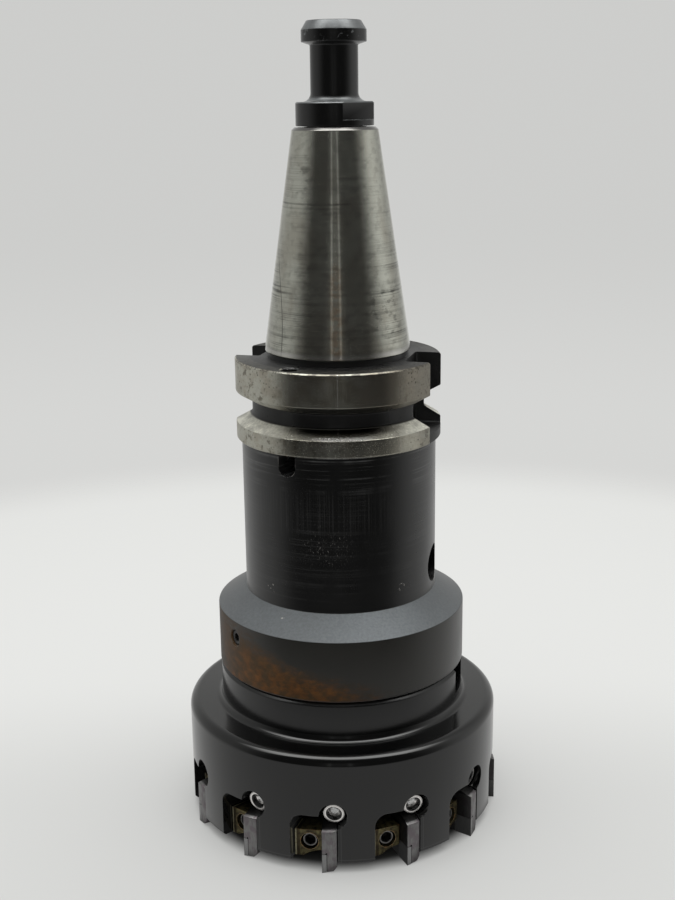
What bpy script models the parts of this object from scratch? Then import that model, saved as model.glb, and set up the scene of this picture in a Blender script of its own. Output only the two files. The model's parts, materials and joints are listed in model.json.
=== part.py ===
"""Face mill with twelve adjustable diamond-tipped blades on a 40-taper shell-mill arbor.

Metres, +Z up. The origin is the centre of the cutting plane, where the twelve blade tips lie,
and +Z runs up the tool's axis to the spindle. Angles around the axis start at the front (-Y)
and grow towards +X. The tool turns clockwise seen from the spindle, so each blade's cutting
face looks towards falling angles.
"""

import math

import bmesh
import bpy
from mathutils import Matrix, Vector

MM = 0.001
GAP = 0.3 * MM

# ---------------------------------------------------------------- heights along the axis
CUTTER_BOTTOM_Z = 2.5 * MM
CUTTER_TOP_Z = 37.4 * MM
ARBOR_SEAT_Z = 50.0 * MM
CONE_LOW_Z = 69.3 * MM
CONE_HIGH_Z = 74.9 * MM
GRIPPER_FLANGE_LOW_Z = 123.0 * MM
GRIPPER_FLANGE_TOP_Z = 148.0 * MM
GAUGE_PLANE_Z = 150.0 * MM
TAPER_TOP_Z = 215.4 * MM
KNOB_TOP_Z = 245.0 * MM

# ---------------------------------------------------------------- arbor
TAPER_PER_LENGTH = 7.0 / 24.0
GAUGE_RADIUS = 22.225 * MM
TAPER_EDGE = 0.8 * MM
RELIEF_RADIUS = 21.5 * MM
RELIEF_TOP_Z = 149.7 * MM
RELIEF_FOOT = 0.9 * MM
GRIPPER_FLANGE_RADIUS = 31.5 * MM
GRIPPER_EDGE = 0.5 * MM
V_GROOVE_HIGH_Z = 138.0 * MM
V_GROOVE_LOW_Z = 128.3 * MM
V_GROOVE_DEPTH = 5.0 * MM
V_GROOVE_HALF_ANGLE = math.radians(30.0)
SHANK_RADIUS = 30.0 * MM
BIG_FLANGE_RADIUS = 39.0 * MM
BIG_FLANGE_EDGE = 0.7 * MM
PILOT_RADIUS = 16.0 * MM
PILOT_END_Z = 26.0 * MM
PILOT_EDGE = 0.8 * MM
LOCK_BORE_RADIUS = 8.0 * MM
LOCK_BORE_TOP_Z = 66.0 * MM
COOLANT_RADIUS = 4.0 * MM
KNOB_BORE_LOW_Z = 186.0 * MM
KNOB_PILOT_LOW_Z = 208.0 * MM
KNOB_PILOT_RADIUS = 8.5 * MM

DRIVE_SLOT_ANGLE = 74.5
DRIVE_SLOT_WIDTH = 16.1 * MM
DRIVE_SLOT_FLOOR = 22.6 * MM
DRIVE_SLOT_LOW_Z = 126.0 * MM

COOLANT_HOLE_ANGLE = -31.0
COOLANT_FACE_HOLE_RADIUS = 2.6 * MM
COOLANT_FACE_HOLE_AT = 27.5 * MM
COOLANT_FACE_HOLE_LOW_Z = 139.5 * MM
COOLANT_SIDE_HOLE_RADIUS = 2.9 * MM
COOLANT_SIDE_HOLE_Z = 119.2 * MM

TOMMY_HOLE_ANGLE = 75.5
TOMMY_HOLE_RADIUS = 6.0 * MM
TOMMY_HOLE_Z = 82.8 * MM
TOMMY_HOLE_FLOOR = 22.0 * MM

BALANCE_ANGLE = -57.0
BALANCE_Z = 63.9 * MM
BALANCE_HOLE_FLOOR = 31.0 * MM

# ---------------------------------------------------------------- cutter body
CUTTER_RADIUS = 49.4 * MM
CUTTER_EDGE = 0.8 * MM
SHOULDER_ROUND = 3.0 * MM
HUB_RADIUS = 38.8 * MM
HUB_ROUND = 2.15 * MM
HUB_EDGE = 1.0 * MM
CUTTER_BORE_RADIUS = 16.3 * MM
COUNTERBORE_RADIUS = 23.0 * MM
COUNTERBORE_TOP_Z = 22.0 * MM
RECESS_OUTER_RADIUS = 31.0 * MM
RECESS_INNER_RADIUS = 29.0 * MM
RECESS_TOP_Z = 8.0 * MM

KEY_ANGLE = 78.0
KEY_SLOT_WIDTH = 14.6 * MM
KEY_SLOT_FLOOR_Z = 41.0 * MM

# ---------------------------------------------------------------- the twelve pockets
POCKETS = 12
FIRST_POCKET_ANGLE = -5.1
POCKET_STEP = 360.0 / POCKETS
SLOT_FLOOR = 37.7 * MM
SLOT_CEILING_Z = 18.4 * MM
SLOT_CORNER = 4.0 * MM
SLOT_LEFT_ANGLE = math.radians(-14.1)

BLADE_THICKNESS = 4.5 * MM
BLADE_TIP_RADIUS = 50.0 * MM
BLADE_INNER = 38.0 * MM
BLADE_TOP_OUTER_Z = 13.55 * MM
BLADE_TOP_SLOPE = 0.3
BLADE_TOP_FLAT_AT = 41.9 * MM
BLADE_CLEARANCE = 1.0 * MM
BLADE_DISH = 0.5 * MM

WEDGE_LOW_Z = 2.6 * MM
WEDGE_HIGH_Z = 11.4 * MM
WEDGE_INNER = 39.8 * MM
WEDGE_OUTER_LEFT = 46.0 * MM
WEDGE_OUTER_RIGHT = 45.2 * MM
WEDGE_SCOOP_RADIUS = 10.7 * MM
WEDGE_SCOOP_SIDE = -2.0 * MM
WEDGE_SCOOP_Z = -6.0 * MM

WEDGE_SCREW_ANGLE = math.radians(-8.2)
WEDGE_SCREW_AT = 44.5 * MM
WEDGE_SCREW_Z = 7.5 * MM
WEDGE_SCREW_RADIUS = 2.4 * MM
WEDGE_SCREW_LENGTH = 11.0 * MM
WEDGE_SCREW_HOLE_LENGTH = 12.2 * MM

ADJUSTER_FACE_AT = 47.03 * MM
ADJUSTER_FACE_Z = 18.19 * MM
ADJUSTER_ANGLE = math.radians(1.54)
ADJUSTER_TURN = math.radians(-4.66)
ADJUSTER_DIP = math.radians(7.2)
ADJUSTER_HEAD_RADIUS = 3.36 * MM
ADJUSTER_THREAD_RADIUS = 2.45 * MM
ADJUSTER_CONE_LENGTH = 5.3 * MM
ADJUSTER_LENGTH = 13.2 * MM
ADJUSTER_HOLE_RADIUS = 2.75 * MM
ADJUSTER_RECESS_RADIUS = 4.3 * MM
ADJUSTER_RECESS_RISE = 0.4 * MM
ADJUSTER_RECESS_DEPTH = 5.6 * MM

# ---------------------------------------------------------------- clamping parts
LOCK_HEAD_RADIUS = 20.0 * MM
LOCK_HEAD_LOW_Z = 12.5 * MM
LOCK_HEAD_EDGE = 1.0 * MM
LOCK_THREAD_RADIUS = 7.7 * MM
LOCK_TOP_Z = 62.0 * MM
LOCK_SOCKET = 14.0 * MM
LOCK_SOCKET_DEPTH = 7.0 * MM

KEY_WIDTH = 14.0 * MM
KEY_INNER = 19.0 * MM
KEY_OUTER = 33.0 * MM
KEY_LOW_Z = 43.0 * MM
KEY_HIGH_Z = 54.0 * MM
KEY_SCREW_HEAD_RADIUS = 4.2 * MM
KEY_SCREW_HEAD_LOW_Z = 43.6 * MM
KEY_SCREW_HEAD_HIGH_Z = 48.6 * MM
KEY_SCREW_RADIUS = 2.5 * MM
KEY_SCREW_TOP_Z = 64.0 * MM

KNOB_HEAD_RADIUS = 9.5 * MM
KNOB_HEAD_LOW_Z = 239.1 * MM
KNOB_HEAD_HIGH_Z = 242.4 * MM
KNOB_CROWN_RADIUS = 7.9 * MM
KNOB_NECK_RADIUS = 7.0 * MM
KNOB_NECK_TOP_Z = 238.3 * MM
KNOB_NECK_ROUND = 2.5 * MM
KNOB_COLLAR_RADIUS = 11.5 * MM
KNOB_COLLAR_TOP_Z = 222.5 * MM
KNOB_COLLAR_EDGE = 0.4 * MM
KNOB_FLAT_ANGLE = 46.0
KNOB_FLAT_AT = 9.5 * MM
KNOB_FLAT_LOW_Z = 217.4 * MM
KNOB_STUD_RADIUS = 7.7 * MM
KNOB_STUD_END_Z = 190.0 * MM

SET_SCREW_SOCKET = 2.5 * MM
OUTSIDE = 60.0 * MM
ARBOR_STEPS = 48
CUTTER_STEPS = 60
KNOB_STEPS = 28
SCREW_STEPS = 14
HOLE_STEPS = 16


# ---------------------------------------------------------------- scene helpers
def clear_scene():
    for obj in list(bpy.data.objects):
        bpy.data.objects.remove(obj, do_unlink=True)


def new_collection(name):
    collection = bpy.data.collections.new(name)
    bpy.context.scene.collection.children.link(collection)
    return collection


def new_material(name, colour, roughness, metallic):
    material = bpy.data.materials.new(name)
    material.use_nodes = True
    surface = material.node_tree.nodes["Principled BSDF"]
    surface.inputs["Base Color"].default_value = (*colour, 1.0)
    surface.inputs["Roughness"].default_value = roughness
    surface.inputs["Metallic"].default_value = metallic
    return material


def object_from(name, bm, collection):
    """A new object with the bmesh as its mesh."""
    mesh = bpy.data.meshes.new(name)
    bm.to_mesh(mesh)
    bm.free()
    obj = bpy.data.objects.new(name, mesh)
    collection.objects.link(obj)
    return obj


def finish(obj, material):
    """Gives a part its material and smooth shading with crisp edges."""
    obj.data.materials.clear()
    obj.data.materials.append(material)
    obj.data.shade_smooth()
    obj.data.set_sharp_from_angle(angle=math.radians(30.0))


def around(angle_degrees):
    """The frame whose +X points outwards at this angle from the front, and +Y to growing angles."""
    return Matrix.Rotation(math.radians(angle_degrees - 90.0), 4, "Z")


def along(point, direction):
    """The frame at a point whose +Z runs along a direction."""
    turn = Vector(direction).to_track_quat("Z", "Y").to_matrix().to_4x4()
    return Matrix.Translation(point) @ turn


# ---------------------------------------------------------------- shape helpers
def arc(centre, radius, start, end, segments):
    """Points of an arc in the (radius, height) plane, angles in degrees from outwards."""
    points = []
    for i in range(segments + 1):
        angle = math.radians(start + (end - start) * i / segments)
        points.append((centre[0] + radius * math.cos(angle), centre[1] + radius * math.sin(angle)))
    return points


def turned(name, profile, steps, collection, closed=False):
    """A lathe-turned shape: the profile runs down the outer side, top to bottom."""
    bm = bmesh.new()
    verts = [bm.verts.new((r, 0.0, z)) for r, z in profile]
    for first, second in zip(verts, verts[1:]):
        bm.edges.new((first, second))
    if closed:
        bm.edges.new((verts[-1], verts[0]))
    obj = object_from(name, bm, collection)
    screw = obj.modifiers.new("Turn", "SCREW")
    screw.axis = "Z"
    screw.steps = steps
    screw.render_steps = steps
    screw.use_merge_vertices = not closed
    screw.merge_threshold = 0.00001
    return obj


def cylinder(name, radius, low, high, steps, collection, frame=Matrix.Identity(4)):
    """A cylinder between two heights of a frame."""
    bm = bmesh.new()
    centre = Matrix.Translation((0.0, 0.0, (low + high) / 2))
    bmesh.ops.create_cone(bm, cap_ends=True, segments=steps, radius1=radius, radius2=radius,
                          depth=high - low, matrix=centre)
    obj = object_from(name, bm, collection)
    obj.matrix_world = frame
    return obj


def bar(name, low, high, collection, frame=Matrix.Identity(4)):
    """A rectangular bar between two corners of a frame."""
    low, high = Vector(low), Vector(high)
    size = high - low
    bm = bmesh.new()
    place = Matrix.Translation((low + high) / 2) @ Matrix.Diagonal((*size, 1.0))
    bmesh.ops.create_cube(bm, size=1.0, matrix=place)
    obj = object_from(name, bm, collection)
    obj.matrix_world = frame
    return obj


def plate(name, outline, thickness, collection):
    """A flat outline in the XY plane, thickened by the same amount above and below it."""
    curve = bpy.data.curves.new(name, "CURVE")
    curve.dimensions = "2D"
    curve.fill_mode = "BOTH"
    curve.extrude = thickness / 2
    spline = curve.splines.new("POLY")
    spline.points.add(len(outline) - 1)
    for point, (x, y) in zip(spline.points, outline):
        point.co = (x, y, 0.0, 1.0)
    spline.use_cyclic_u = True
    guide = bpy.data.objects.new(name, curve)
    collection.objects.link(guide)
    mesh = evaluated_mesh(guide)
    bpy.data.objects.remove(guide)
    bm = bmesh.new()
    bm.from_mesh(mesh)
    bmesh.ops.remove_doubles(bm, verts=bm.verts, dist=1e-6)
    bmesh.ops.recalc_face_normals(bm, faces=bm.faces)
    return object_from(name, bm, collection)


def evaluated_mesh(obj):
    bpy.context.view_layer.update()
    graph = bpy.context.evaluated_depsgraph_get()
    return bpy.data.meshes.new_from_object(obj.evaluated_get(graph))


def cut(obj, cutter):
    """Takes the cutter away from the object, and keeps the cutter out of renders."""
    cutter.hide_render = True
    cutter.display_type = "WIRE"
    boolean = obj.modifiers.new(cutter.name, "BOOLEAN")
    boolean.operation = "DIFFERENCE"
    boolean.solver = "EXACT"
    boolean.object = cutter


def repeat_round(obj, count):
    """Adds evenly turned copies of the mesh around the tool's axis, and applies its placing."""
    bm = bmesh.new()
    bm.from_mesh(obj.data)
    bmesh.ops.transform(bm, matrix=obj.matrix_world, verts=bm.verts)
    first = list(bm.verts) + list(bm.edges) + list(bm.faces)
    for i in range(1, count):
        copy = bmesh.ops.duplicate(bm, geom=first)["geom"]
        verts = [item for item in copy if isinstance(item, bmesh.types.BMVert)]
        turn = Matrix.Rotation(math.tau * i / count, 3, "Z")
        bmesh.ops.rotate(bm, verts=verts, cent=(0.0, 0.0, 0.0), matrix=turn)
    bm.to_mesh(obj.data)
    bm.free()
    obj.matrix_world = Matrix.Identity(4)
    return obj


# ---------------------------------------------------------------- arbor and knob
def arbor_profile():
    taper_top_radius = GAUGE_RADIUS - (TAPER_TOP_Z - GAUGE_PLANE_Z) * TAPER_PER_LENGTH / 2
    groove_root = GRIPPER_FLANGE_RADIUS - V_GROOVE_DEPTH
    groove_slant = V_GROOVE_DEPTH * math.tan(V_GROOVE_HALF_ANGLE)
    outside = [
        (taper_top_radius - TAPER_EDGE, TAPER_TOP_Z),
        (taper_top_radius + TAPER_EDGE * TAPER_PER_LENGTH / 2, TAPER_TOP_Z - TAPER_EDGE),
        (GAUGE_RADIUS, GAUGE_PLANE_Z),
        (RELIEF_RADIUS, RELIEF_TOP_Z),
        (RELIEF_RADIUS, GRIPPER_FLANGE_TOP_Z + RELIEF_FOOT),
        (RELIEF_RADIUS + RELIEF_FOOT, GRIPPER_FLANGE_TOP_Z),
        (GRIPPER_FLANGE_RADIUS - GRIPPER_EDGE, GRIPPER_FLANGE_TOP_Z),
        (GRIPPER_FLANGE_RADIUS, GRIPPER_FLANGE_TOP_Z - GRIPPER_EDGE),
        (GRIPPER_FLANGE_RADIUS, V_GROOVE_HIGH_Z),
        (groove_root, V_GROOVE_HIGH_Z - groove_slant),
        (groove_root, V_GROOVE_LOW_Z + groove_slant),
        (GRIPPER_FLANGE_RADIUS, V_GROOVE_LOW_Z),
        (GRIPPER_FLANGE_RADIUS, GRIPPER_FLANGE_LOW_Z + GRIPPER_EDGE),
        (GRIPPER_FLANGE_RADIUS - GRIPPER_EDGE, GRIPPER_FLANGE_LOW_Z),
        (SHANK_RADIUS, GRIPPER_FLANGE_LOW_Z),
        (SHANK_RADIUS, CONE_HIGH_Z),
        (BIG_FLANGE_RADIUS, CONE_LOW_Z),
        (BIG_FLANGE_RADIUS, ARBOR_SEAT_Z + BIG_FLANGE_EDGE),
        (BIG_FLANGE_RADIUS - BIG_FLANGE_EDGE, ARBOR_SEAT_Z),
        (PILOT_RADIUS, ARBOR_SEAT_Z),
        (PILOT_RADIUS, PILOT_END_Z + PILOT_EDGE),
        (PILOT_RADIUS - PILOT_EDGE, PILOT_END_Z),
    ]
    inside = [
        (LOCK_BORE_RADIUS, PILOT_END_Z),
        (LOCK_BORE_RADIUS, LOCK_BORE_TOP_Z),
        (COOLANT_RADIUS, LOCK_BORE_TOP_Z + LOCK_BORE_RADIUS - COOLANT_RADIUS),
        (COOLANT_RADIUS, KNOB_BORE_LOW_Z - LOCK_BORE_RADIUS + COOLANT_RADIUS),
        (LOCK_BORE_RADIUS, KNOB_BORE_LOW_Z),
        (LOCK_BORE_RADIUS, KNOB_PILOT_LOW_Z),
        (KNOB_PILOT_RADIUS, KNOB_PILOT_LOW_Z),
        (KNOB_PILOT_RADIUS, TAPER_TOP_Z),
    ]
    return outside + inside


def make_arbor(parts, cutters):
    """Taper, gripper flange, shank, big flange and pilot, turned in one piece."""
    arbor = turned("arbor", arbor_profile(), ARBOR_STEPS, parts, closed=True)
    half_slot = DRIVE_SLOT_WIDTH / 2
    half_key = KEY_SLOT_WIDTH / 2
    for side, turn in (("a", 0.0), ("b", 180.0)):
        cut(arbor, bar(
            f"drive_slot_{side}",
            (DRIVE_SLOT_FLOOR, -half_slot, DRIVE_SLOT_LOW_Z),
            (OUTSIDE, half_slot, GAUGE_PLANE_Z),
            cutters, around(DRIVE_SLOT_ANGLE + turn)))
        cut(arbor, cylinder(
            f"coolant_face_hole_{side}", COOLANT_FACE_HOLE_RADIUS,
            COOLANT_FACE_HOLE_LOW_Z, GAUGE_PLANE_Z, HOLE_STEPS, cutters,
            around(COOLANT_HOLE_ANGLE + turn) @ Matrix.Translation((COOLANT_FACE_HOLE_AT, 0.0, 0.0))))
        cut(arbor, radial_hole(
            f"coolant_side_hole_{side}", COOLANT_SIDE_HOLE_RADIUS, COOLANT_RADIUS / 2,
            COOLANT_HOLE_ANGLE + turn, COOLANT_SIDE_HOLE_Z, cutters))
        cut(arbor, radial_hole(
            f"balance_hole_{side}", WEDGE_SCREW_RADIUS + GAP, BALANCE_HOLE_FLOOR,
            BALANCE_ANGLE + turn, BALANCE_Z, cutters))
        cut(arbor, bar(
            f"key_seat_{side}",
            (KEY_INNER - GAP, -half_key, PILOT_END_Z + PILOT_EDGE),
            (KEY_OUTER + GAP, half_key, KEY_HIGH_Z + GAP),
            cutters, around(KEY_ANGLE + turn)))
        cut(arbor, cylinder(
            f"key_screw_hole_{side}", KEY_SCREW_RADIUS + GAP, ARBOR_SEAT_Z,
            KEY_SCREW_TOP_Z + 2 * MM, HOLE_STEPS, cutters, key_screw_frame(turn)))
    cut(arbor, radial_hole("tommy_hole", TOMMY_HOLE_RADIUS, TOMMY_HOLE_FLOOR,
                           TOMMY_HOLE_ANGLE, TOMMY_HOLE_Z, cutters))
    return arbor


def radial_hole(name, radius, floor, angle, height, cutters):
    """A drill lying along the radius at an angle and a height, from its floor outwards."""
    frame = around(angle) @ along((0.0, 0.0, height), (1.0, 0.0, 0.0))
    return cylinder(name, radius, floor, OUTSIDE, HOLE_STEPS, cutters, frame)


def key_screw_frame(turn):
    middle = (KEY_INNER + KEY_OUTER) / 2
    return around(KEY_ANGLE + turn) @ Matrix.Translation((middle, 0.0, 0.0))


def make_knob(parts, cutters):
    """Retention knob, pulled by the spindle's grippers, with two wrench flats on its collar."""
    foot_centre = (KNOB_NECK_RADIUS + KNOB_NECK_ROUND, KNOB_COLLAR_TOP_Z + KNOB_NECK_ROUND)
    collar_low_z = TAPER_TOP_Z + GAP
    pilot_radius = KNOB_PILOT_RADIUS - GAP
    pilot_low_z = KNOB_PILOT_LOW_Z + GAP
    profile = [
        (0.0, KNOB_TOP_Z),
        (KNOB_CROWN_RADIUS, KNOB_TOP_Z),
        (KNOB_HEAD_RADIUS, KNOB_HEAD_HIGH_Z),
        (KNOB_HEAD_RADIUS, KNOB_HEAD_LOW_Z),
        (KNOB_NECK_RADIUS, KNOB_NECK_TOP_Z),
        *arc(foot_centre, KNOB_NECK_ROUND, 180.0, 270.0, 3),
        (KNOB_COLLAR_RADIUS - KNOB_COLLAR_EDGE, KNOB_COLLAR_TOP_Z),
        (KNOB_COLLAR_RADIUS, KNOB_COLLAR_TOP_Z - KNOB_COLLAR_EDGE),
        (KNOB_COLLAR_RADIUS, collar_low_z),
        (pilot_radius, collar_low_z),
        (pilot_radius, pilot_low_z),
        (KNOB_STUD_RADIUS, pilot_low_z),
        (KNOB_STUD_RADIUS, KNOB_STUD_END_Z + MM),
        (KNOB_STUD_RADIUS - MM, KNOB_STUD_END_Z),
        (0.0, KNOB_STUD_END_Z),
    ]
    knob = turned("retention_knob", profile, KNOB_STEPS, parts)
    for side, turn in (("a", 0.0), ("b", 180.0)):
        cut(knob, bar(
            f"wrench_flat_{side}",
            (KNOB_FLAT_AT, -KNOB_COLLAR_RADIUS, KNOB_FLAT_LOW_Z),
            (KNOB_COLLAR_RADIUS + MM, KNOB_COLLAR_RADIUS, KNOB_COLLAR_TOP_Z + MM),
            cutters, around(KNOB_FLAT_ANGLE + turn)))
    return knob


# ---------------------------------------------------------------- cutter body
def cutter_profile():
    top_z = ARBOR_SEAT_Z - GAP
    hub_centre = (HUB_RADIUS + HUB_ROUND, CUTTER_TOP_Z + HUB_ROUND)
    shoulder_centre = (CUTTER_RADIUS - SHOULDER_ROUND, CUTTER_TOP_Z - SHOULDER_ROUND)
    return [
        (HUB_RADIUS - HUB_EDGE, top_z),
        (HUB_RADIUS, top_z - HUB_EDGE),
        *arc(hub_centre, HUB_ROUND, 180.0, 270.0, 3),
        *arc(shoulder_centre, SHOULDER_ROUND, 90.0, 0.0, 4),
        (CUTTER_RADIUS, CUTTER_BOTTOM_Z + CUTTER_EDGE),
        (CUTTER_RADIUS - CUTTER_EDGE, CUTTER_BOTTOM_Z),
        (RECESS_OUTER_RADIUS, CUTTER_BOTTOM_Z),
        (RECESS_INNER_RADIUS, RECESS_TOP_Z),
        (COUNTERBORE_RADIUS, RECESS_TOP_Z),
        (COUNTERBORE_RADIUS, COUNTERBORE_TOP_Z),
        (CUTTER_BORE_RADIUS, COUNTERBORE_TOP_Z),
        (CUTTER_BORE_RADIUS, top_z),
    ]


def slot_cutter(cutters):
    """The blade slot: straight behind the blade, radial on the wedge's side, one round corner."""
    right = BLADE_THICKNESS / 2 + GAP
    slope = math.tan(SLOT_LEFT_ANGLE)
    outline = [
        (SLOT_FLOOR, right),
        (SLOT_FLOOR, SLOT_FLOOR * slope),
        (OUTSIDE, OUTSIDE * slope),
        (OUTSIDE, right),
    ]
    slot = plate("blade_slots", outline, 2 * SLOT_CEILING_Z, cutters)
    bm = bmesh.new()
    bm.from_mesh(slot.data)
    corner = [edge for edge in bm.edges if all(
        vert.co.z > 0 and vert.co.y < 0 for vert in edge.verts) and
        abs(edge.verts[0].co.x - edge.verts[1].co.x) > SLOT_CORNER]
    bmesh.ops.bevel(bm, geom=corner, offset=SLOT_CORNER, segments=3, profile=0.5, affect="EDGES")
    bm.to_mesh(slot.data)
    bm.free()
    slot.matrix_world = around(FIRST_POCKET_ANGLE)
    return repeat_round(slot, POCKETS)


def make_cutter_body(parts, cutters):
    body = turned("cutter_body", cutter_profile(), CUTTER_STEPS, parts, closed=True)
    first = around(FIRST_POCKET_ANGLE)
    cut(body, slot_cutter(cutters))
    recess_frame = first @ Matrix.Translation((0.0, 0.0, ADJUSTER_RECESS_RISE)) @ adjuster_frame()
    cut(body, repeat_round(cylinder(
        "adjuster_recesses", ADJUSTER_RECESS_RADIUS, -ADJUSTER_RECESS_DEPTH, 8 * MM,
        HOLE_STEPS, cutters, recess_frame), POCKETS))
    cut(body, repeat_round(cylinder(
        "adjuster_holes", ADJUSTER_HOLE_RADIUS, -ADJUSTER_LENGTH - MM, 0.0,
        HOLE_STEPS - 4, cutters, first @ adjuster_frame()), POCKETS))
    cut(body, repeat_round(cylinder(
        "wedge_screw_holes", WEDGE_SCREW_RADIUS + GAP, -WEDGE_SCREW_HOLE_LENGTH, 0.0,
        HOLE_STEPS - 4, cutters, first @ wedge_screw_frame()), POCKETS))
    for side, turn in (("a", 0.0), ("b", 180.0)):
        cut(body, bar(
            f"key_slot_{side}",
            (CUTTER_BORE_RADIUS - MM, -KEY_SLOT_WIDTH / 2, KEY_SLOT_FLOOR_Z),
            (HUB_RADIUS + MM, KEY_SLOT_WIDTH / 2, ARBOR_SEAT_Z + MM),
            cutters, around(KEY_ANGLE + turn)))
    return body


# ---------------------------------------------------------------- pieces of one pocket
def adjuster_frame():
    """The adjusting screw's frame in its pocket: origin in its face, +Z along its axis outwards."""
    point = Matrix.Rotation(ADJUSTER_ANGLE, 3, "Z") @ Vector((ADJUSTER_FACE_AT, 0.0, ADJUSTER_FACE_Z))
    level = math.cos(ADJUSTER_DIP)
    turn = ADJUSTER_ANGLE + ADJUSTER_TURN
    direction = (level * math.cos(turn), level * math.sin(turn), -math.sin(ADJUSTER_DIP))
    return along(point, direction)


def wedge_screw_frame():
    """The wedge screw's frame in its pocket: origin in its face, +Z outwards, halving the wedge."""
    angle = WEDGE_SCREW_ANGLE
    point = (WEDGE_SCREW_AT * math.cos(angle), WEDGE_SCREW_AT * math.sin(angle), WEDGE_SCREW_Z)
    middle = SLOT_LEFT_ANGLE / 2
    return along(point, (math.cos(middle), math.sin(middle), 0.0))


def hex_socket(name, across_flats, depth, collection):
    """A six-sided cutter that opens a socket at the origin, down to a depth."""
    radius = across_flats / math.sqrt(3.0)
    return cylinder(name, radius, -depth, MM, 6, collection)


def socket_screw_mesh(name, profile, socket, depth, cutters):
    """A turned screw with a hexagon socket in its face, as one finished mesh."""
    screw = turned(name, profile, SCREW_STEPS, cutters)
    cutter = hex_socket(name + "_socket", socket, depth, cutters)
    cut(screw, cutter)
    mesh = evaluated_mesh(screw)
    bpy.data.objects.remove(screw)
    bpy.data.objects.remove(cutter)
    mesh.name = name
    return mesh


def set_screw_profile(radius, length):
    edge = 0.3 * MM
    return [(0.0, 0.0), (radius - edge, 0.0), (radius, -edge), (radius, -length + 2 * edge),
            (radius - 2 * edge, -length), (0.0, -length)]


def adjusting_screw_mesh(cutters):
    """Cone-headed screw: turned in, its cone presses the blade down out of the body."""
    rim = 0.25 * MM
    profile = [
        (0.0, 0.0),
        (ADJUSTER_HEAD_RADIUS - rim, 0.0),
        (ADJUSTER_HEAD_RADIUS, -rim),
        (ADJUSTER_THREAD_RADIUS, -ADJUSTER_CONE_LENGTH),
        (ADJUSTER_THREAD_RADIUS, -ADJUSTER_LENGTH + rim),
        (ADJUSTER_THREAD_RADIUS - 2 * rim, -ADJUSTER_LENGTH),
        (0.0, -ADJUSTER_LENGTH),
    ]
    return socket_screw_mesh("adjusting_screw", profile, 4.0 * MM, 2.6 * MM, cutters)


def blade_mesh(parts):
    """Blade bar: the cutting corner is low, outside and on the -Y side, with relief behind it."""
    half = BLADE_THICKNESS / 2
    tip = math.sqrt(BLADE_TIP_RADIUS ** 2 - half ** 2)
    flat_z = BLADE_TOP_OUTER_Z + (tip - BLADE_TOP_FLAT_AT) * BLADE_TOP_SLOPE
    outline = [
        (tip, 0.0),
        (tip, BLADE_TOP_OUTER_Z),
        (BLADE_TOP_FLAT_AT, flat_z),
        (BLADE_INNER, flat_z),
        (BLADE_INNER, BLADE_DISH),
    ]
    blade = plate("blade", outline, BLADE_THICKNESS, parts)
    # The outline's height becomes +Z and its thickness -Y, then the trailing side is relieved.
    blade.data.transform(Matrix.Rotation(math.pi / 2, 4, "X"))
    for vert in blade.data.vertices:
        if vert.co.y < 0:
            continue
        if vert.co.x > tip - MM:
            vert.co.x -= BLADE_CLEARANCE
        if vert.co.z < 2 * BLADE_CLEARANCE:
            vert.co.z += BLADE_CLEARANCE
    mesh = blade.data
    bpy.data.objects.remove(blade)
    return mesh


def wedge_mesh(parts, cutters):
    """Clamping wedge between the blade's cutting face and the slot's radial wall."""
    right = -BLADE_THICKNESS / 2 - GAP
    wall = Vector((math.cos(SLOT_LEFT_ANGLE), math.sin(SLOT_LEFT_ANGLE)))
    inset = Vector((-wall.y, wall.x)) * GAP
    inner_left = wall * WEDGE_INNER + inset
    outer_left = wall * WEDGE_OUTER_LEFT + inset
    outline = [
        tuple(inner_left),
        tuple(outer_left),
        (WEDGE_OUTER_RIGHT, right),
        (inner_left.x - 0.6 * MM, right),
    ]
    height = WEDGE_HIGH_Z - WEDGE_LOW_Z
    wedge = plate("wedge", outline, height, parts)
    wedge.data.transform(Matrix.Translation((0.0, 0.0, WEDGE_LOW_Z + height / 2)))
    scoop_frame = along((0.0, WEDGE_SCOOP_SIDE, WEDGE_SCOOP_Z), (1.0, 0.0, 0.0))
    scoop = cylinder("wedge_scoop", WEDGE_SCOOP_RADIUS, 0.0, OUTSIDE, 36, cutters, scoop_frame)
    hole = cylinder("wedge_hole", WEDGE_SCREW_RADIUS + GAP, -OUTSIDE, OUTSIDE, HOLE_STEPS,
                    cutters, wedge_screw_frame())
    cut(wedge, scoop)
    cut(wedge, hole)
    mesh = evaluated_mesh(wedge)
    mesh.name = "wedge"
    for obj in (wedge, scoop, hole):
        bpy.data.objects.remove(obj)
    # The mesh is kept about the screw's face, so the wedge's origin lies on its line of travel.
    mesh.transform(Matrix.Translation(-wedge_screw_frame().translation))
    return mesh


def place(name, mesh, frame, parts, parent=None):
    """One object for a shared mesh, at a frame of its parent."""
    obj = bpy.data.objects.new(name, mesh)
    parts.objects.link(obj)
    obj.parent = parent
    obj.location = frame.to_translation()
    obj.rotation_euler = frame.to_euler()
    return obj


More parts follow.
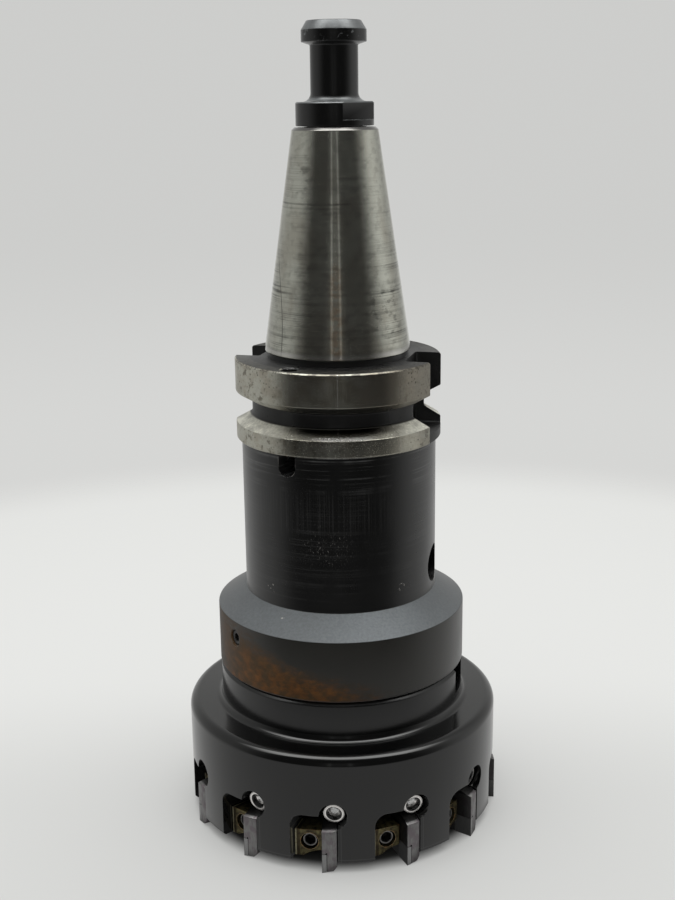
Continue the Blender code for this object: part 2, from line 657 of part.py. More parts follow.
def make_pockets(parts, cutters, materials):
    blade = blade_mesh(parts)
    wedge = wedge_mesh(parts, cutters)
    adjuster = adjusting_screw_mesh(cutters)
    wedge_screw = socket_screw_mesh(
        "wedge_screw", set_screw_profile(WEDGE_SCREW_RADIUS, WEDGE_SCREW_LENGTH),
        SET_SCREW_SOCKET, 3.0 * MM, cutters)
    wedge_place = Matrix.Translation(wedge_screw_frame().translation)
    for i in range(POCKETS):
        pocket = bpy.data.objects.new(f"pocket_{i + 1:02d}", None)
        pocket.rotation_euler = around(FIRST_POCKET_ANGLE + POCKET_STEP * i).to_euler()
        parts.objects.link(pocket)
        made = (
            (f"blade_{i + 1:02d}", blade, Matrix.Identity(4), "carbide"),
            (f"wedge_{i + 1:02d}", wedge, wedge_place, "bronze"),
            (f"adjusting_screw_{i + 1:02d}", adjuster, adjuster_frame(), "bright_steel"),
            (f"wedge_screw_{i + 1:02d}", wedge_screw, wedge_screw_frame(), "dark_steel"),
        )
        for name, mesh, frame, slot in made:
            finish(place(name, mesh, frame, parts, pocket), materials[slot])


# ---------------------------------------------------------------- clamping parts
def make_lock_screw(parts, cutters):
    """Screw that pulls the cutter up onto the arbor, turned from below."""
    head_high_z = COUNTERBORE_TOP_Z - GAP
    profile = [
        (0.0, LOCK_TOP_Z),
        (LOCK_THREAD_RADIUS - MM, LOCK_TOP_Z),
        (LOCK_THREAD_RADIUS, LOCK_TOP_Z - MM),
        (LOCK_THREAD_RADIUS, head_high_z),
        (LOCK_HEAD_RADIUS, head_high_z),
        (LOCK_HEAD_RADIUS, LOCK_HEAD_LOW_Z + LOCK_HEAD_EDGE),
        (LOCK_HEAD_RADIUS - LOCK_HEAD_EDGE, LOCK_HEAD_LOW_Z),
        (0.0, LOCK_HEAD_LOW_Z),
    ]
    screw = turned("lock_screw", profile, KNOB_STEPS, parts)
    cut(screw, cylinder("lock_socket", LOCK_SOCKET / math.sqrt(3.0), LOCK_HEAD_LOW_Z - MM,
                        LOCK_HEAD_LOW_Z + LOCK_SOCKET_DEPTH, 6, cutters))
    return screw


def make_drive_keys(parts, cutters, materials):
    """Two keys in the arbor's face that carry the torque, each held by one screw."""
    middle = (KEY_INNER + KEY_OUTER) / 2
    half = KEY_WIDTH / 2
    head_length = KEY_SCREW_HEAD_HIGH_Z - KEY_SCREW_HEAD_LOW_Z
    shank_length = KEY_SCREW_TOP_Z - KEY_SCREW_HEAD_LOW_Z
    profile = [
        (0.0, 0.0),
        (KEY_SCREW_HEAD_RADIUS, 0.0),
        (KEY_SCREW_HEAD_RADIUS, -head_length),
        (KEY_SCREW_RADIUS, -head_length),
        (KEY_SCREW_RADIUS, -shank_length),
        (0.0, -shank_length),
    ]
    screw_mesh = socket_screw_mesh("key_screw", profile, 4.0 * MM, 2.5 * MM, cutters)
    for number, turn in ((1, 0.0), (2, 180.0)):
        frame = around(KEY_ANGLE + turn)
        key = bar(f"drive_key_{number}", (KEY_INNER, -half, KEY_LOW_Z),
                  (KEY_OUTER, half, KEY_HIGH_Z), parts, frame)
        finish(key, materials["dark_steel"])
        screw_frame = key_screw_frame(turn)
        cut(key, cylinder(f"key_counterbore_{number}", KEY_SCREW_HEAD_RADIUS + GAP,
                          KEY_LOW_Z - MM, KEY_SCREW_HEAD_HIGH_Z + GAP, HOLE_STEPS,
                          cutters, screw_frame))
        cut(key, cylinder(f"key_hole_{number}", KEY_SCREW_RADIUS + GAP, KEY_LOW_Z,
                          KEY_HIGH_Z + MM, HOLE_STEPS, cutters, screw_frame))
        downwards = around(KEY_ANGLE + turn) @ along((middle, 0.0, KEY_SCREW_HEAD_LOW_Z),
                                                     (0.0, 0.0, -1.0))
        finish(place(f"key_screw_{number}", screw_mesh, downwards, parts), materials["dark_steel"])


def make_set_screws(parts, cutters, materials):
    """Balance screws in the big flange, and plugs that shut the flange's coolant inlets."""
    balance = socket_screw_mesh("balance_screw", set_screw_profile(WEDGE_SCREW_RADIUS, 6.0 * MM),
                                SET_SCREW_SOCKET, 2.2 * MM, cutters)
    plug = socket_screw_mesh("coolant_plug",
                             set_screw_profile(COOLANT_FACE_HOLE_RADIUS - GAP, 4.7 * MM),
                             SET_SCREW_SOCKET, 2.2 * MM, cutters)
    balance_at = (BIG_FLANGE_RADIUS - 0.6 * MM, 0.0, BALANCE_Z)
    plug_at = (COOLANT_FACE_HOLE_AT, 0.0, GRIPPER_FLANGE_TOP_Z - 2.8 * MM)
    for number, turn in ((1, 0.0), (2, 180.0)):
        finish(place(f"balance_screw_{number}", balance,
                     around(BALANCE_ANGLE + turn) @ along(balance_at, (1.0, 0.0, 0.0)), parts),
               materials["dark_steel"])
        finish(place(f"coolant_plug_{number}", plug,
                     around(COOLANT_HOLE_ANGLE + turn) @ Matrix.Translation(plug_at), parts),
               materials["dark_steel"])


def make_materials():
    return {
        "ground_steel": new_material("ground_steel", (0.42, 0.41, 0.39), 0.32, 1.0),
        "black_oxide": new_material("black_oxide", (0.035, 0.037, 0.040), 0.45, 0.6),
        "black_body": new_material("black_body", (0.030, 0.031, 0.034), 0.38, 0.5),
        "carbide": new_material("carbide", (0.26, 0.25, 0.26), 0.42, 0.9),
        "bronze": new_material("bronze", (0.30, 0.24, 0.13), 0.45, 0.9),
        "bright_steel": new_material("bright_steel", (0.62, 0.61, 0.57), 0.22, 1.0),
        "dark_steel": new_material("dark_steel", (0.08, 0.08, 0.08), 0.4, 0.9),
    }


def main():
    clear_scene()
    parts = new_collection("face_mill")
    cutters = new_collection("cutters")
    materials = make_materials()
    finish(make_arbor(parts, cutters), materials["ground_steel"])
    finish(make_knob(parts, cutters), materials["black_oxide"])
    finish(make_cutter_body(parts, cutters), materials["black_body"])
    finish(make_lock_screw(parts, cutters), materials["dark_steel"])
    make_drive_keys(parts, cutters, materials)
    make_set_screws(parts, cutters, materials)
    make_pockets(parts, cutters, materials)


main()
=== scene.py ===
"""Looks of the face mill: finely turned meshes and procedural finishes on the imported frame.

Every piece is built in the row frame, in metres, with its object at the origin. Angles around the
tool's axis start at the front (-Y) and grow towards +X. Heights and radii inside the materials
are in millimetres.
"""

import json
import math

import bmesh
import bpy
from mathutils import Matrix, Vector


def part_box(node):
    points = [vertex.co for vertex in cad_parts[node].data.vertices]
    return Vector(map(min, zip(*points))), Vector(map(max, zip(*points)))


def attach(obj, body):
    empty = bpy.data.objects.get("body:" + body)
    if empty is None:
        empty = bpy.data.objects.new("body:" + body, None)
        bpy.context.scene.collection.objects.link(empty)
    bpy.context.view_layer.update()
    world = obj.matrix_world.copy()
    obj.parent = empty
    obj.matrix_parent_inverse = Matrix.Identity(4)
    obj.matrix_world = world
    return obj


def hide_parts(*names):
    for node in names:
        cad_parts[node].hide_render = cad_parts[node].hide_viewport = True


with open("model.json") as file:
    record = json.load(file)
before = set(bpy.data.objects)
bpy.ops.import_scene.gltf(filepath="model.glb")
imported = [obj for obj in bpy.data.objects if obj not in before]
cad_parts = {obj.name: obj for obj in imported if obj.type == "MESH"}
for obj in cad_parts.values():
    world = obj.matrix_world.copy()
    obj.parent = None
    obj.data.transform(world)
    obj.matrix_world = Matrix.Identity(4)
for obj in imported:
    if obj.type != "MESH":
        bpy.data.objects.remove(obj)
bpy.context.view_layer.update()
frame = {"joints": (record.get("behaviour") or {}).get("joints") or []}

MM = 0.001
TOOL = "tool_body"
POCKETS = 12
GAP = 0.3 * MM

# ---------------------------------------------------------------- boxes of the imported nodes
ARBOR_LOW, ARBOR_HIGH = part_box("arbor")
CUTTER_LOW, CUTTER_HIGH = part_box("cutter_body")
KNOB_LOW, KNOB_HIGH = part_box("retention_knob")
LOCK_LOW, LOCK_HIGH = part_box("lock_screw")
KEY_LOW, KEY_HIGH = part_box("drive_key_1")
WEDGE_LOW, WEDGE_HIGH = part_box("wedge_01")

# ---------------------------------------------------------------- arbor
TAPER_TOP_Z = ARBOR_HIGH.z
PILOT_END_Z = ARBOR_LOW.z
SEAT_Z = CUTTER_HIGH.z + GAP
GAUGE_PLANE_Z = TAPER_TOP_Z - 65.4 * MM
FLANGE_TOP_Z = GAUGE_PLANE_Z - 2.0 * MM
FLANGE_LOW_Z = FLANGE_TOP_Z - 25.0 * MM
TAPER_PER_LENGTH = 7.0 / 24.0
GAUGE_RADIUS = 22.225 * MM
TAPER_EDGE = 0.8 * MM
RELIEF_RADIUS = 21.5 * MM
FLANGE_RADIUS = 31.5 * MM
V_GROOVE_HIGH_Z = FLANGE_TOP_Z - 10.0 * MM
V_GROOVE_LOW_Z = FLANGE_LOW_Z + 5.3 * MM
V_GROOVE_DEPTH = 5.0 * MM
SHANK_RADIUS = 30.0 * MM
CONE_HIGH_Z = SEAT_Z + 24.9 * MM
CONE_LOW_Z = SEAT_Z + 19.3 * MM
BIG_RADIUS = 39.0 * MM
PILOT_RADIUS = 16.0 * MM
LOCK_BORE_RADIUS = 8.0 * MM
LOCK_BORE_LENGTH = 16.0 * MM
KNOB_BORE_LENGTH = 22.0 * MM
BORE_POINT = 4.0 * MM
COOLANT_RADIUS = 4.0 * MM
KNOB_PILOT_RADIUS = 8.5 * MM
KNOB_PILOT_LOW_Z = TAPER_TOP_Z - 7.4 * MM

DRIVE_SLOT_ANGLE = 74.5
DRIVE_SLOT_WIDTH = 16.1 * MM
DRIVE_SLOT_FLOOR = 22.6 * MM
DRIVE_SLOT_LOW_Z = FLANGE_LOW_Z + 3.0 * MM
COOLANT_ANGLE = -31.0
COOLANT_FACE_HOLE_RADIUS = 2.6 * MM
COOLANT_FACE_HOLE_AT = 27.5 * MM
COOLANT_FACE_HOLE_DEPTH = 8.5 * MM
COOLANT_SIDE_HOLE_RADIUS = 2.9 * MM
COOLANT_SIDE_HOLE_Z = FLANGE_LOW_Z - 3.8 * MM
TOMMY_ANGLE = 75.5
TOMMY_RADIUS = 6.0 * MM
TOMMY_FLOOR = 22.0 * MM
TOMMY_Z = SEAT_Z + 32.8 * MM
BALANCE_ANGLE = -57.0
BALANCE_Z = SEAT_Z + 13.9 * MM
BALANCE_FLOOR = 31.0 * MM

# ---------------------------------------------------------------- cutter body
CUTTER_RADIUS = 49.4 * MM
CUTTER_BOTTOM_Z = CUTTER_LOW.z
CUTTER_TOP_Z = SEAT_Z - 12.6 * MM
CUTTER_EDGE = 0.8 * MM
SHOULDER_ROUND = 3.0 * MM
HUB_RADIUS = 38.8 * MM
HUB_ROUND = 2.15 * MM
HUB_EDGE = 1.0 * MM
CUTTER_BORE_RADIUS = 16.3 * MM
COUNTERBORE_RADIUS = 23.0 * MM
COUNTERBORE_TOP_Z = CUTTER_BOTTOM_Z + 19.5 * MM
RECESS_OUTER_RADIUS = 31.0 * MM
RECESS_INNER_RADIUS = 29.0 * MM
RECESS_TOP_Z = CUTTER_BOTTOM_Z + 5.5 * MM
KEY_ANGLE = 78.0
KEY_SLOT_WIDTH = 14.6 * MM
KEY_SLOT_FLOOR_Z = SEAT_Z - 9.0 * MM

# ---------------------------------------------------------------- one pocket
FIRST_POCKET_ANGLE = -5.1
POCKET_STEP = 360.0 / POCKETS
SLOT_FLOOR = 37.7 * MM
SLOT_CEILING_Z = CUTTER_BOTTOM_Z + 15.9 * MM
SLOT_CORNER = 4.0 * MM
SLOT_LEFT_ANGLE = math.radians(-14.1)
BLADE_THICKNESS = 4.5 * MM
BLADE_TIP_RADIUS = 50.0 * MM
BLADE_INNER = 38.0 * MM
BLADE_TOP_OUTER_Z = 13.55 * MM
BLADE_TOP_SLOPE = 0.3
BLADE_TOP_FLAT_AT = 41.9 * MM
BLADE_DISH = 0.5 * MM
BLADE_RELIEF = 0.35 * MM
BLADE_LOW_RELIEF = 0.45 * MM
BLADE_BACK_CHAMFER = 1.05 * MM
TIP_WIDTH = 1.35 * MM
TIP_HEIGHT = 6.0 * MM
TIP_LENGTH = 5.5 * MM
WEDGE_LOW_Z = WEDGE_LOW.z
WEDGE_HIGH_Z = WEDGE_HIGH.z
WEDGE_INNER = 39.8 * MM
WEDGE_OUTER_LEFT = 46.0 * MM
WEDGE_OUTER_RIGHT = 45.2 * MM
WEDGE_SCOOP_RADIUS = 10.7 * MM
WEDGE_SCOOP_SIDE = -2.0 * MM
WEDGE_SCOOP_Z = -6.0 * MM
WEDGE_SCREW_RADIUS = 2.4 * MM
WEDGE_SCREW_LENGTH = 11.0 * MM
WEDGE_SCREW_HOLE_LENGTH = 12.2 * MM
ADJUSTER_HEAD_RADIUS = 3.36 * MM
ADJUSTER_THREAD_RADIUS = 2.45 * MM
ADJUSTER_MOUTH = 2.45 * MM
ADJUSTER_SOCKET = 4.0 * MM
ADJUSTER_SOCKET_DEPTH = 1.5 * MM
WEDGE_SCREW_SOCKET = 3.0 * MM
WEDGE_SCREW_SOCKET_DEPTH = 3.0 * MM
ADJUSTER_CONE_LENGTH = 5.3 * MM
ADJUSTER_LENGTH = 13.2 * MM
ADJUSTER_HOLE_RADIUS = 2.75 * MM
ADJUSTER_RECESS_RADIUS = 4.3 * MM
ADJUSTER_RECESS_RISE = 0.4 * MM
ADJUSTER_RECESS_DEPTH = 5.6 * MM

# ---------------------------------------------------------------- meshes
STEPS = 240
SMALL_STEPS = 48
OUTSIDE = 60.0 * MM
SMOOTH_BELOW = 35.0
BROKEN_ABOVE = 30.0
HALF_TURNS = (0.0, 180.0)


# ---------------------------------------------------------------- frames of reference
def around(angle_degrees):
    """The frame whose +X points outwards at this angle from the front, and +Y to growing angles."""
    return Matrix.Rotation(math.radians(angle_degrees - 90.0), 4, "Z")


def along(point, direction):
    """The frame at a point whose +Z runs along a direction, with its +Y as high as it can be."""
    turn = Vector(direction).to_track_quat("Z", "Y").to_matrix().to_4x4()
    return Matrix.Translation(point) @ turn


def radial(angle_degrees, height):
    """The frame on the tool's axis at a height whose +Z points outwards at an angle."""
    return around(angle_degrees) @ along((0.0, 0.0, height), (1.0, 0.0, 0.0))


def hinge_frame(name):
    """The frame on a packed hinge's axis, with +Z turned to point away from the tool."""
    joint = next(j for j in frame["joints"] if j["name"] == name)
    point, axis = Vector(joint["pos_m"]), Vector(joint["axis"])
    if axis.dot(Vector((point.x, point.y, 0.0))) < 0:
        axis.negate()
    return along(point, axis)


# ---------------------------------------------------------------- mesh helpers
def in_scene(name, data):
    obj = bpy.data.objects.new(name, data)
    bpy.context.scene.collection.objects.link(obj)
    return obj


def object_from(name, bm):
    mesh = bpy.data.meshes.new(name)
    bm.to_mesh(mesh)
    bm.free()
    return in_scene(name, mesh)


def evaluated(obj):
    """Applies the object's modifiers to its mesh."""
    bpy.context.view_layer.update()
    graph = bpy.context.evaluated_depsgraph_get()
    mesh = bpy.data.meshes.new_from_object(obj.evaluated_get(graph))
    obj.modifiers.clear()
    obj.data = mesh
    return obj


def arc(centre, radius, start, end, segments):
    """Corners of an arc in the (radius, height) plane, angles in degrees from outwards."""
    points = []
    for i in range(segments + 1):
        angle = math.radians(start + (end - start) * i / segments)
        points.append((centre[0] + radius * math.cos(angle),
                       centre[1] + radius * math.sin(angle), 0.0))
    return points


def rounded(corners, segments=3):
    """The outline with each (x, y, radius) corner turned into a short curve of about that radius."""
    out = []
    for i, (x, y, radius) in enumerate(corners):
        corner = Vector((x, y))
        if radius == 0.0:
            out.append(corner)
            continue
        before = Vector(corners[i - 1][:2]) - corner
        after = Vector(corners[(i + 1) % len(corners)][:2]) - corner
        reach = radius / math.tan(before.angle(after) / 2)
        reach = min(reach, before.length * 0.48, after.length * 0.48)
        start = corner + before.normalized() * reach
        end = corner + after.normalized() * reach
        for step in range(segments + 1):
            t = step / segments
            out.append(start.lerp(corner, t).lerp(corner.lerp(end, t), t))
    return [tuple(point) for point in out]


def turned(name, profile, steps=STEPS, closed=False):
    """A lathe-turned mesh: the profile runs down the outer side, top to bottom."""
    bm = bmesh.new()
    rings = []
    for r, z in profile:
        count = 1 if r < 1e-7 else steps
        rings.append([bm.verts.new((r * math.cos(math.tau * i / steps),
                                    r * math.sin(math.tau * i / steps), z)) for i in range(count)])
    pairs = list(zip(rings, rings[1:])) + ([(rings[-1], rings[0])] if closed else [])
    for upper, lower in pairs:
        for i in range(steps):
            j = i + 1
            corners = [upper[i % len(upper)], lower[i % len(lower)],
                       lower[j % len(lower)], upper[j % len(upper)]]
            bm.faces.new(list(dict.fromkeys(corners)))
    return object_from(name, bm)


def drill(radius, low, high, place=Matrix.Identity(4), steps=SMALL_STEPS, top_radius=None):
    """A cutter: a cylinder or a cone between two heights of a frame."""
    bm = bmesh.new()
    middle = Matrix.Translation((0.0, 0.0, (low + high) / 2))
    bmesh.ops.create_cone(bm, cap_ends=True, segments=steps, radius1=radius,
                          radius2=radius if top_radius is None else top_radius,
                          depth=high - low, matrix=place @ middle)
    return object_from("cutter", bm)


def bar(low, high, place=Matrix.Identity(4)):
    """A cutter: a rectangular bar between two corners of a frame."""
    low, high = Vector(low), Vector(high)
    bm = bmesh.new()
    size = Matrix.Diagonal((*(high - low), 1.0))
    bmesh.ops.create_cube(bm, size=1.0, matrix=place @ Matrix.Translation((low + high) / 2) @ size)
    return object_from("cutter", bm)


def prism(name, outline, low, high):
    """An outline in the XY plane, raised from one height to another."""
    bm = bmesh.new()
    bottom = [bm.verts.new((x, y, low)) for x, y in outline]
    top = [bm.verts.new((x, y, high)) for x, y in outline]
    bm.faces.new(bottom)
    bm.faces.new(top)
    for i in range(len(outline)):
        j = (i + 1) % len(outline)
        bm.faces.new((bottom[i], bottom[j], top[j], top[i]))
    bmesh.ops.recalc_face_normals(bm, faces=bm.faces)
    return object_from(name, bm)


def repeat_round(obj, count):
    """Adds evenly turned copies of the mesh around the tool's axis."""
    bm = bmesh.new()
    bm.from_mesh(obj.data)
    first = list(bm.verts) + list(bm.edges) + list(bm.faces)
    for i in range(1, count):
        copy = bmesh.ops.duplicate(bm, geom=first)["geom"]
        verts = [item for item in copy if isinstance(item, bmesh.types.BMVert)]
        bmesh.ops.rotate(bm, verts=verts, cent=(0.0, 0.0, 0.0),
                         matrix=Matrix.Rotation(math.tau * i / count, 3, "Z"))
    bm.to_mesh(obj.data)
    bm.free()
    return obj


def carve(obj, cutters):
    """Takes the cutters away from the object, one after another, and removes them."""
    for cutter in cutters:
        boolean = obj.modifiers.new("cut", "BOOLEAN")
        boolean.operation = "DIFFERENCE"
        boolean.solver = "EXACT"
        boolean.object = cutter
    evaluated(obj)
    for cutter in cutters:
        bpy.data.objects.remove(cutter)
    return obj


def break_edges(obj, width, segments=2):
    """Rounds the edges that turn by more than BROKEN_ABOVE."""
    modifier = obj.modifiers.new("edges", "BEVEL")
    modifier.width = width
    modifier.segments = segments
    modifier.limit_method = "ANGLE"
    modifier.angle_limit = math.radians(BROKEN_ABOVE)
    return evaluated(obj)


def settle(obj, body, node, material):
    """Finishes a piece: material, shading, body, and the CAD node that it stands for."""
    obj.data.materials.clear()
    obj.data.materials.append(material)
    obj.data.shade_smooth()
    obj.data.set_sharp_from_angle(angle=math.radians(SMOOTH_BELOW))
    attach(obj, body)
    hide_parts(node)


def copy_at(obj, name, place):
    """A copy of a mesh with its own data, moved to a frame."""
    mesh = obj.data.copy()
    mesh.transform(place)
    return in_scene(name, mesh)


# ---------------------------------------------------------------- arbor
def make_taper(material):
    """The spindle taper, down to the relief that runs into the flange."""
    top = GAUGE_RADIUS - (TAPER_TOP_Z - GAUGE_PLANE_Z) * TAPER_PER_LENGTH / 2
    rim = top + TAPER_EDGE * TAPER_PER_LENGTH / 2
    outside = rounded([
        (KNOB_PILOT_RADIUS + 0.3 * MM, TAPER_TOP_Z, 0.0),
        (top - TAPER_EDGE, TAPER_TOP_Z, 0.25 * MM),
        (rim, TAPER_TOP_Z - TAPER_EDGE, 0.3 * MM),
        (GAUGE_RADIUS, GAUGE_PLANE_Z, 0.2 * MM),
        (RELIEF_RADIUS, GAUGE_PLANE_Z - 0.35 * MM, 0.15 * MM),
        (RELIEF_RADIUS, FLANGE_TOP_Z - MM, 0.0),
        (COOLANT_RADIUS, FLANGE_TOP_Z - MM, 0.0),
        (COOLANT_RADIUS, KNOB_PILOT_LOW_Z - KNOB_BORE_LENGTH - BORE_POINT, 0.0),
        (LOCK_BORE_RADIUS, KNOB_PILOT_LOW_Z - KNOB_BORE_LENGTH, 0.0),
        (LOCK_BORE_RADIUS, KNOB_PILOT_LOW_Z, 0.0),
        (KNOB_PILOT_RADIUS, KNOB_PILOT_LOW_Z, 0.0),
        (KNOB_PILOT_RADIUS, TAPER_TOP_Z - 0.3 * MM, 0.0),
    ])
    taper = turned("arbor_taper", outside, closed=True)
    settle(taper, TOOL, "arbor", material)


def make_flange(material):
    """The gripper flange, with its V-groove, drive slots and coolant inlets."""
    root = FLANGE_RADIUS - V_GROOVE_DEPTH
    slant = V_GROOVE_DEPTH * math.tan(math.radians(30.0))
    profile = rounded([
        (COOLANT_RADIUS, FLANGE_TOP_Z, 0.0),
        (FLANGE_RADIUS - 0.5 * MM, FLANGE_TOP_Z, 0.3 * MM),
        (FLANGE_RADIUS, FLANGE_TOP_Z - 0.5 * MM, 0.3 * MM),
        (FLANGE_RADIUS, V_GROOVE_HIGH_Z, 0.35 * MM),
        (root, V_GROOVE_HIGH_Z - slant, 0.8 * MM),
        (root, V_GROOVE_LOW_Z + slant, 0.8 * MM),
        (FLANGE_RADIUS, V_GROOVE_LOW_Z, 0.35 * MM),
        (FLANGE_RADIUS, FLANGE_LOW_Z + 0.5 * MM, 0.3 * MM),
        (FLANGE_RADIUS - 0.5 * MM, FLANGE_LOW_Z, 0.3 * MM),
        (COOLANT_RADIUS, FLANGE_LOW_Z, 0.0),
    ], 4)
    flange = turned("arbor_flange", profile, closed=True)
    half = DRIVE_SLOT_WIDTH / 2
    chamfer = 0.4 * MM
    cutters = []
    for turn in HALF_TURNS:
        place = around(DRIVE_SLOT_ANGLE + turn)
        slot = bar((DRIVE_SLOT_FLOOR, -half, DRIVE_SLOT_LOW_Z),
                   (OUTSIDE, half, GAUGE_PLANE_Z), place)
        cutters.append(break_edges(slot, 0.8 * MM, 3))
        inlet = around(COOLANT_ANGLE + turn) @ Matrix.Translation((COOLANT_FACE_HOLE_AT, 0.0, 0.0))
        cutters.append(drill(COOLANT_FACE_HOLE_RADIUS, FLANGE_TOP_Z - COOLANT_FACE_HOLE_DEPTH,
                             GAUGE_PLANE_Z, inlet))
        cutters.append(drill(COOLANT_FACE_HOLE_RADIUS, FLANGE_TOP_Z - chamfer,
                             FLANGE_TOP_Z + chamfer, inlet,
                             top_radius=COOLANT_FACE_HOLE_RADIUS + 2 * chamfer))
    carve(flange, cutters)
    settle(flange, TOOL, "arbor", material)


def make_shank(material):
    """The shank, its cone, the big flange and the pilot that the cutter sits on."""
    profile = rounded([
        (COOLANT_RADIUS, FLANGE_LOW_Z + MM, 0.0),
        (SHANK_RADIUS, FLANGE_LOW_Z + MM, 0.0),
        (SHANK_RADIUS, CONE_HIGH_Z, 0.25 * MM),
        (BIG_RADIUS, CONE_LOW_Z, 0.35 * MM),
        (BIG_RADIUS, SEAT_Z + 0.7 * MM, 0.3 * MM),
        (BIG_RADIUS - 0.7 * MM, SEAT_Z, 0.3 * MM),
        (PILOT_RADIUS, SEAT_Z, 0.0),
        (PILOT_RADIUS, PILOT_END_Z + 0.8 * MM, 0.3 * MM),
        (PILOT_RADIUS - 0.8 * MM, PILOT_END_Z, 0.3 * MM),
        (LOCK_BORE_RADIUS, PILOT_END_Z, 0.0),
        (LOCK_BORE_RADIUS, SEAT_Z + LOCK_BORE_LENGTH, 0.0),
        (COOLANT_RADIUS, SEAT_Z + LOCK_BORE_LENGTH + BORE_POINT, 0.0),
    ], 4)
    shank = turned("arbor_shank", profile, closed=True)
    half = KEY_SLOT_WIDTH / 2
    seat_inner, seat_outer = 18.7 * MM, 33.3 * MM
    cutters = []
    for turn in HALF_TURNS:
        outlet = radial(COOLANT_ANGLE + turn, COOLANT_SIDE_HOLE_Z)
        cutters.append(drill(COOLANT_SIDE_HOLE_RADIUS, COOLANT_RADIUS / 2, OUTSIDE, outlet))
        cutters.append(bar((SHANK_RADIUS - 5.0 * MM, -COOLANT_SIDE_HOLE_RADIUS, COOLANT_SIDE_HOLE_Z),
                           (OUTSIDE, COOLANT_SIDE_HOLE_RADIUS, FLANGE_LOW_Z + 2 * MM),
                           around(COOLANT_ANGLE + turn)))
        balance = radial(BALANCE_ANGLE + turn, BALANCE_Z)
        hole = WEDGE_SCREW_RADIUS + 0.1 * MM
        cutters.append(drill(hole, BALANCE_FLOOR, OUTSIDE, balance))
        cutters.append(drill(hole, BIG_RADIUS - 0.35 * MM, BIG_RADIUS + 0.65 * MM, balance,
                             top_radius=hole + 1.0 * MM))
        cutters.append(bar((seat_inner, -half, PILOT_END_Z + 0.8 * MM),
                           (seat_outer, half, KEY_HIGH.z + GAP), around(KEY_ANGLE + turn)))
    tommy = radial(TOMMY_ANGLE, TOMMY_Z)
    cutters.append(drill(TOMMY_RADIUS, TOMMY_FLOOR, OUTSIDE, tommy, steps=64))
    carve(shank, cutters)
    settle(shank, TOOL, "arbor", material)


def make_knob(material):
    """Retention knob: gripped head, neck, and a collar with two wrench flats."""
    head_high_z, head_low_z = KNOB_HIGH.z - 2.6 * MM, KNOB_HIGH.z - 5.9 * MM
    collar_z = KNOB_HIGH.z - 22.5 * MM
    collar_low_z = TAPER_TOP_Z + GAP
    head, crown, neck, collar = 9.5 * MM, 7.9 * MM, 7.0 * MM, 11.5 * MM
    foot = 2.5 * MM
    stud = 7.7 * MM
    pilot = KNOB_PILOT_RADIUS - GAP
    profile = rounded([
        (0.0, KNOB_HIGH.z - 1.9 * MM, 0.0),
        (1.0 * MM, KNOB_HIGH.z - 1.5 * MM, 0.0),
        (2.2 * MM, KNOB_HIGH.z, 0.15 * MM),
        (crown, KNOB_HIGH.z, 0.35 * MM),
        (head, head_high_z, 0.4 * MM),
        (head, head_low_z, 0.25 * MM),
        (neck, head_low_z - 0.8 * MM, 0.5 * MM),
        *arc((neck + foot, collar_z + foot), foot, 180.0, 270.0, 10),
        (collar - 0.4 * MM, collar_z, 0.25 * MM),
        (collar, collar_z - 0.4 * MM, 0.25 * MM),
        (collar, collar_low_z, 0.2 * MM),
        (pilot, collar_low_z, 0.0),
        (pilot, KNOB_PILOT_LOW_Z + GAP, 0.0),
        (stud, KNOB_PILOT_LOW_Z + GAP, 0.0),
        (stud, KNOB_LOW.z + MM, 0.0),
        (stud - MM, KNOB_LOW.z, 0.0),
        (0.0, KNOB_LOW.z, 0.0),
    ])
    knob = turned("retention_knob_body", profile, steps=144)
    flat_at, flat_low_z, flat_angle = 9.5 * MM, KNOB_HIGH.z - 27.6 * MM, 46.0
    cutters = [bar((flat_at, -collar, flat_low_z), (collar + MM, collar, collar_z + MM),
                   around(flat_angle + turn)) for turn in HALF_TURNS]
    carve(knob, cutters)
    settle(knob, TOOL, "retention_knob", material)


# ---------------------------------------------------------------- cutter body
def slot_cutter():
    """The twelve blade slots: straight behind the blade, radial on the wedge's side."""
    right = BLADE_THICKNESS / 2 + GAP
    slope = math.tan(SLOT_LEFT_ANGLE)
    slot = prism("slots", [
        (SLOT_FLOOR, right),
        (SLOT_FLOOR, SLOT_FLOOR * slope),
        (OUTSIDE, OUTSIDE * slope),
        (OUTSIDE, right),
    ], -MM, SLOT_CEILING_Z)
    bm = bmesh.new()
    bm.from_mesh(slot.data)
    corner = [edge for edge in bm.edges if all(
        vert.co.z > 0 and vert.co.y < 0 for vert in edge.verts) and
        abs(edge.verts[0].co.x - edge.verts[1].co.x) > SLOT_CORNER]
    bmesh.ops.bevel(bm, geom=corner, offset=SLOT_CORNER, segments=8, profile=0.5, affect="EDGES")
    bmesh.ops.transform(bm, matrix=around(FIRST_POCKET_ANGLE), verts=bm.verts)
    bm.to_mesh(slot.data)
    bm.free()
    return repeat_round(slot, POCKETS)


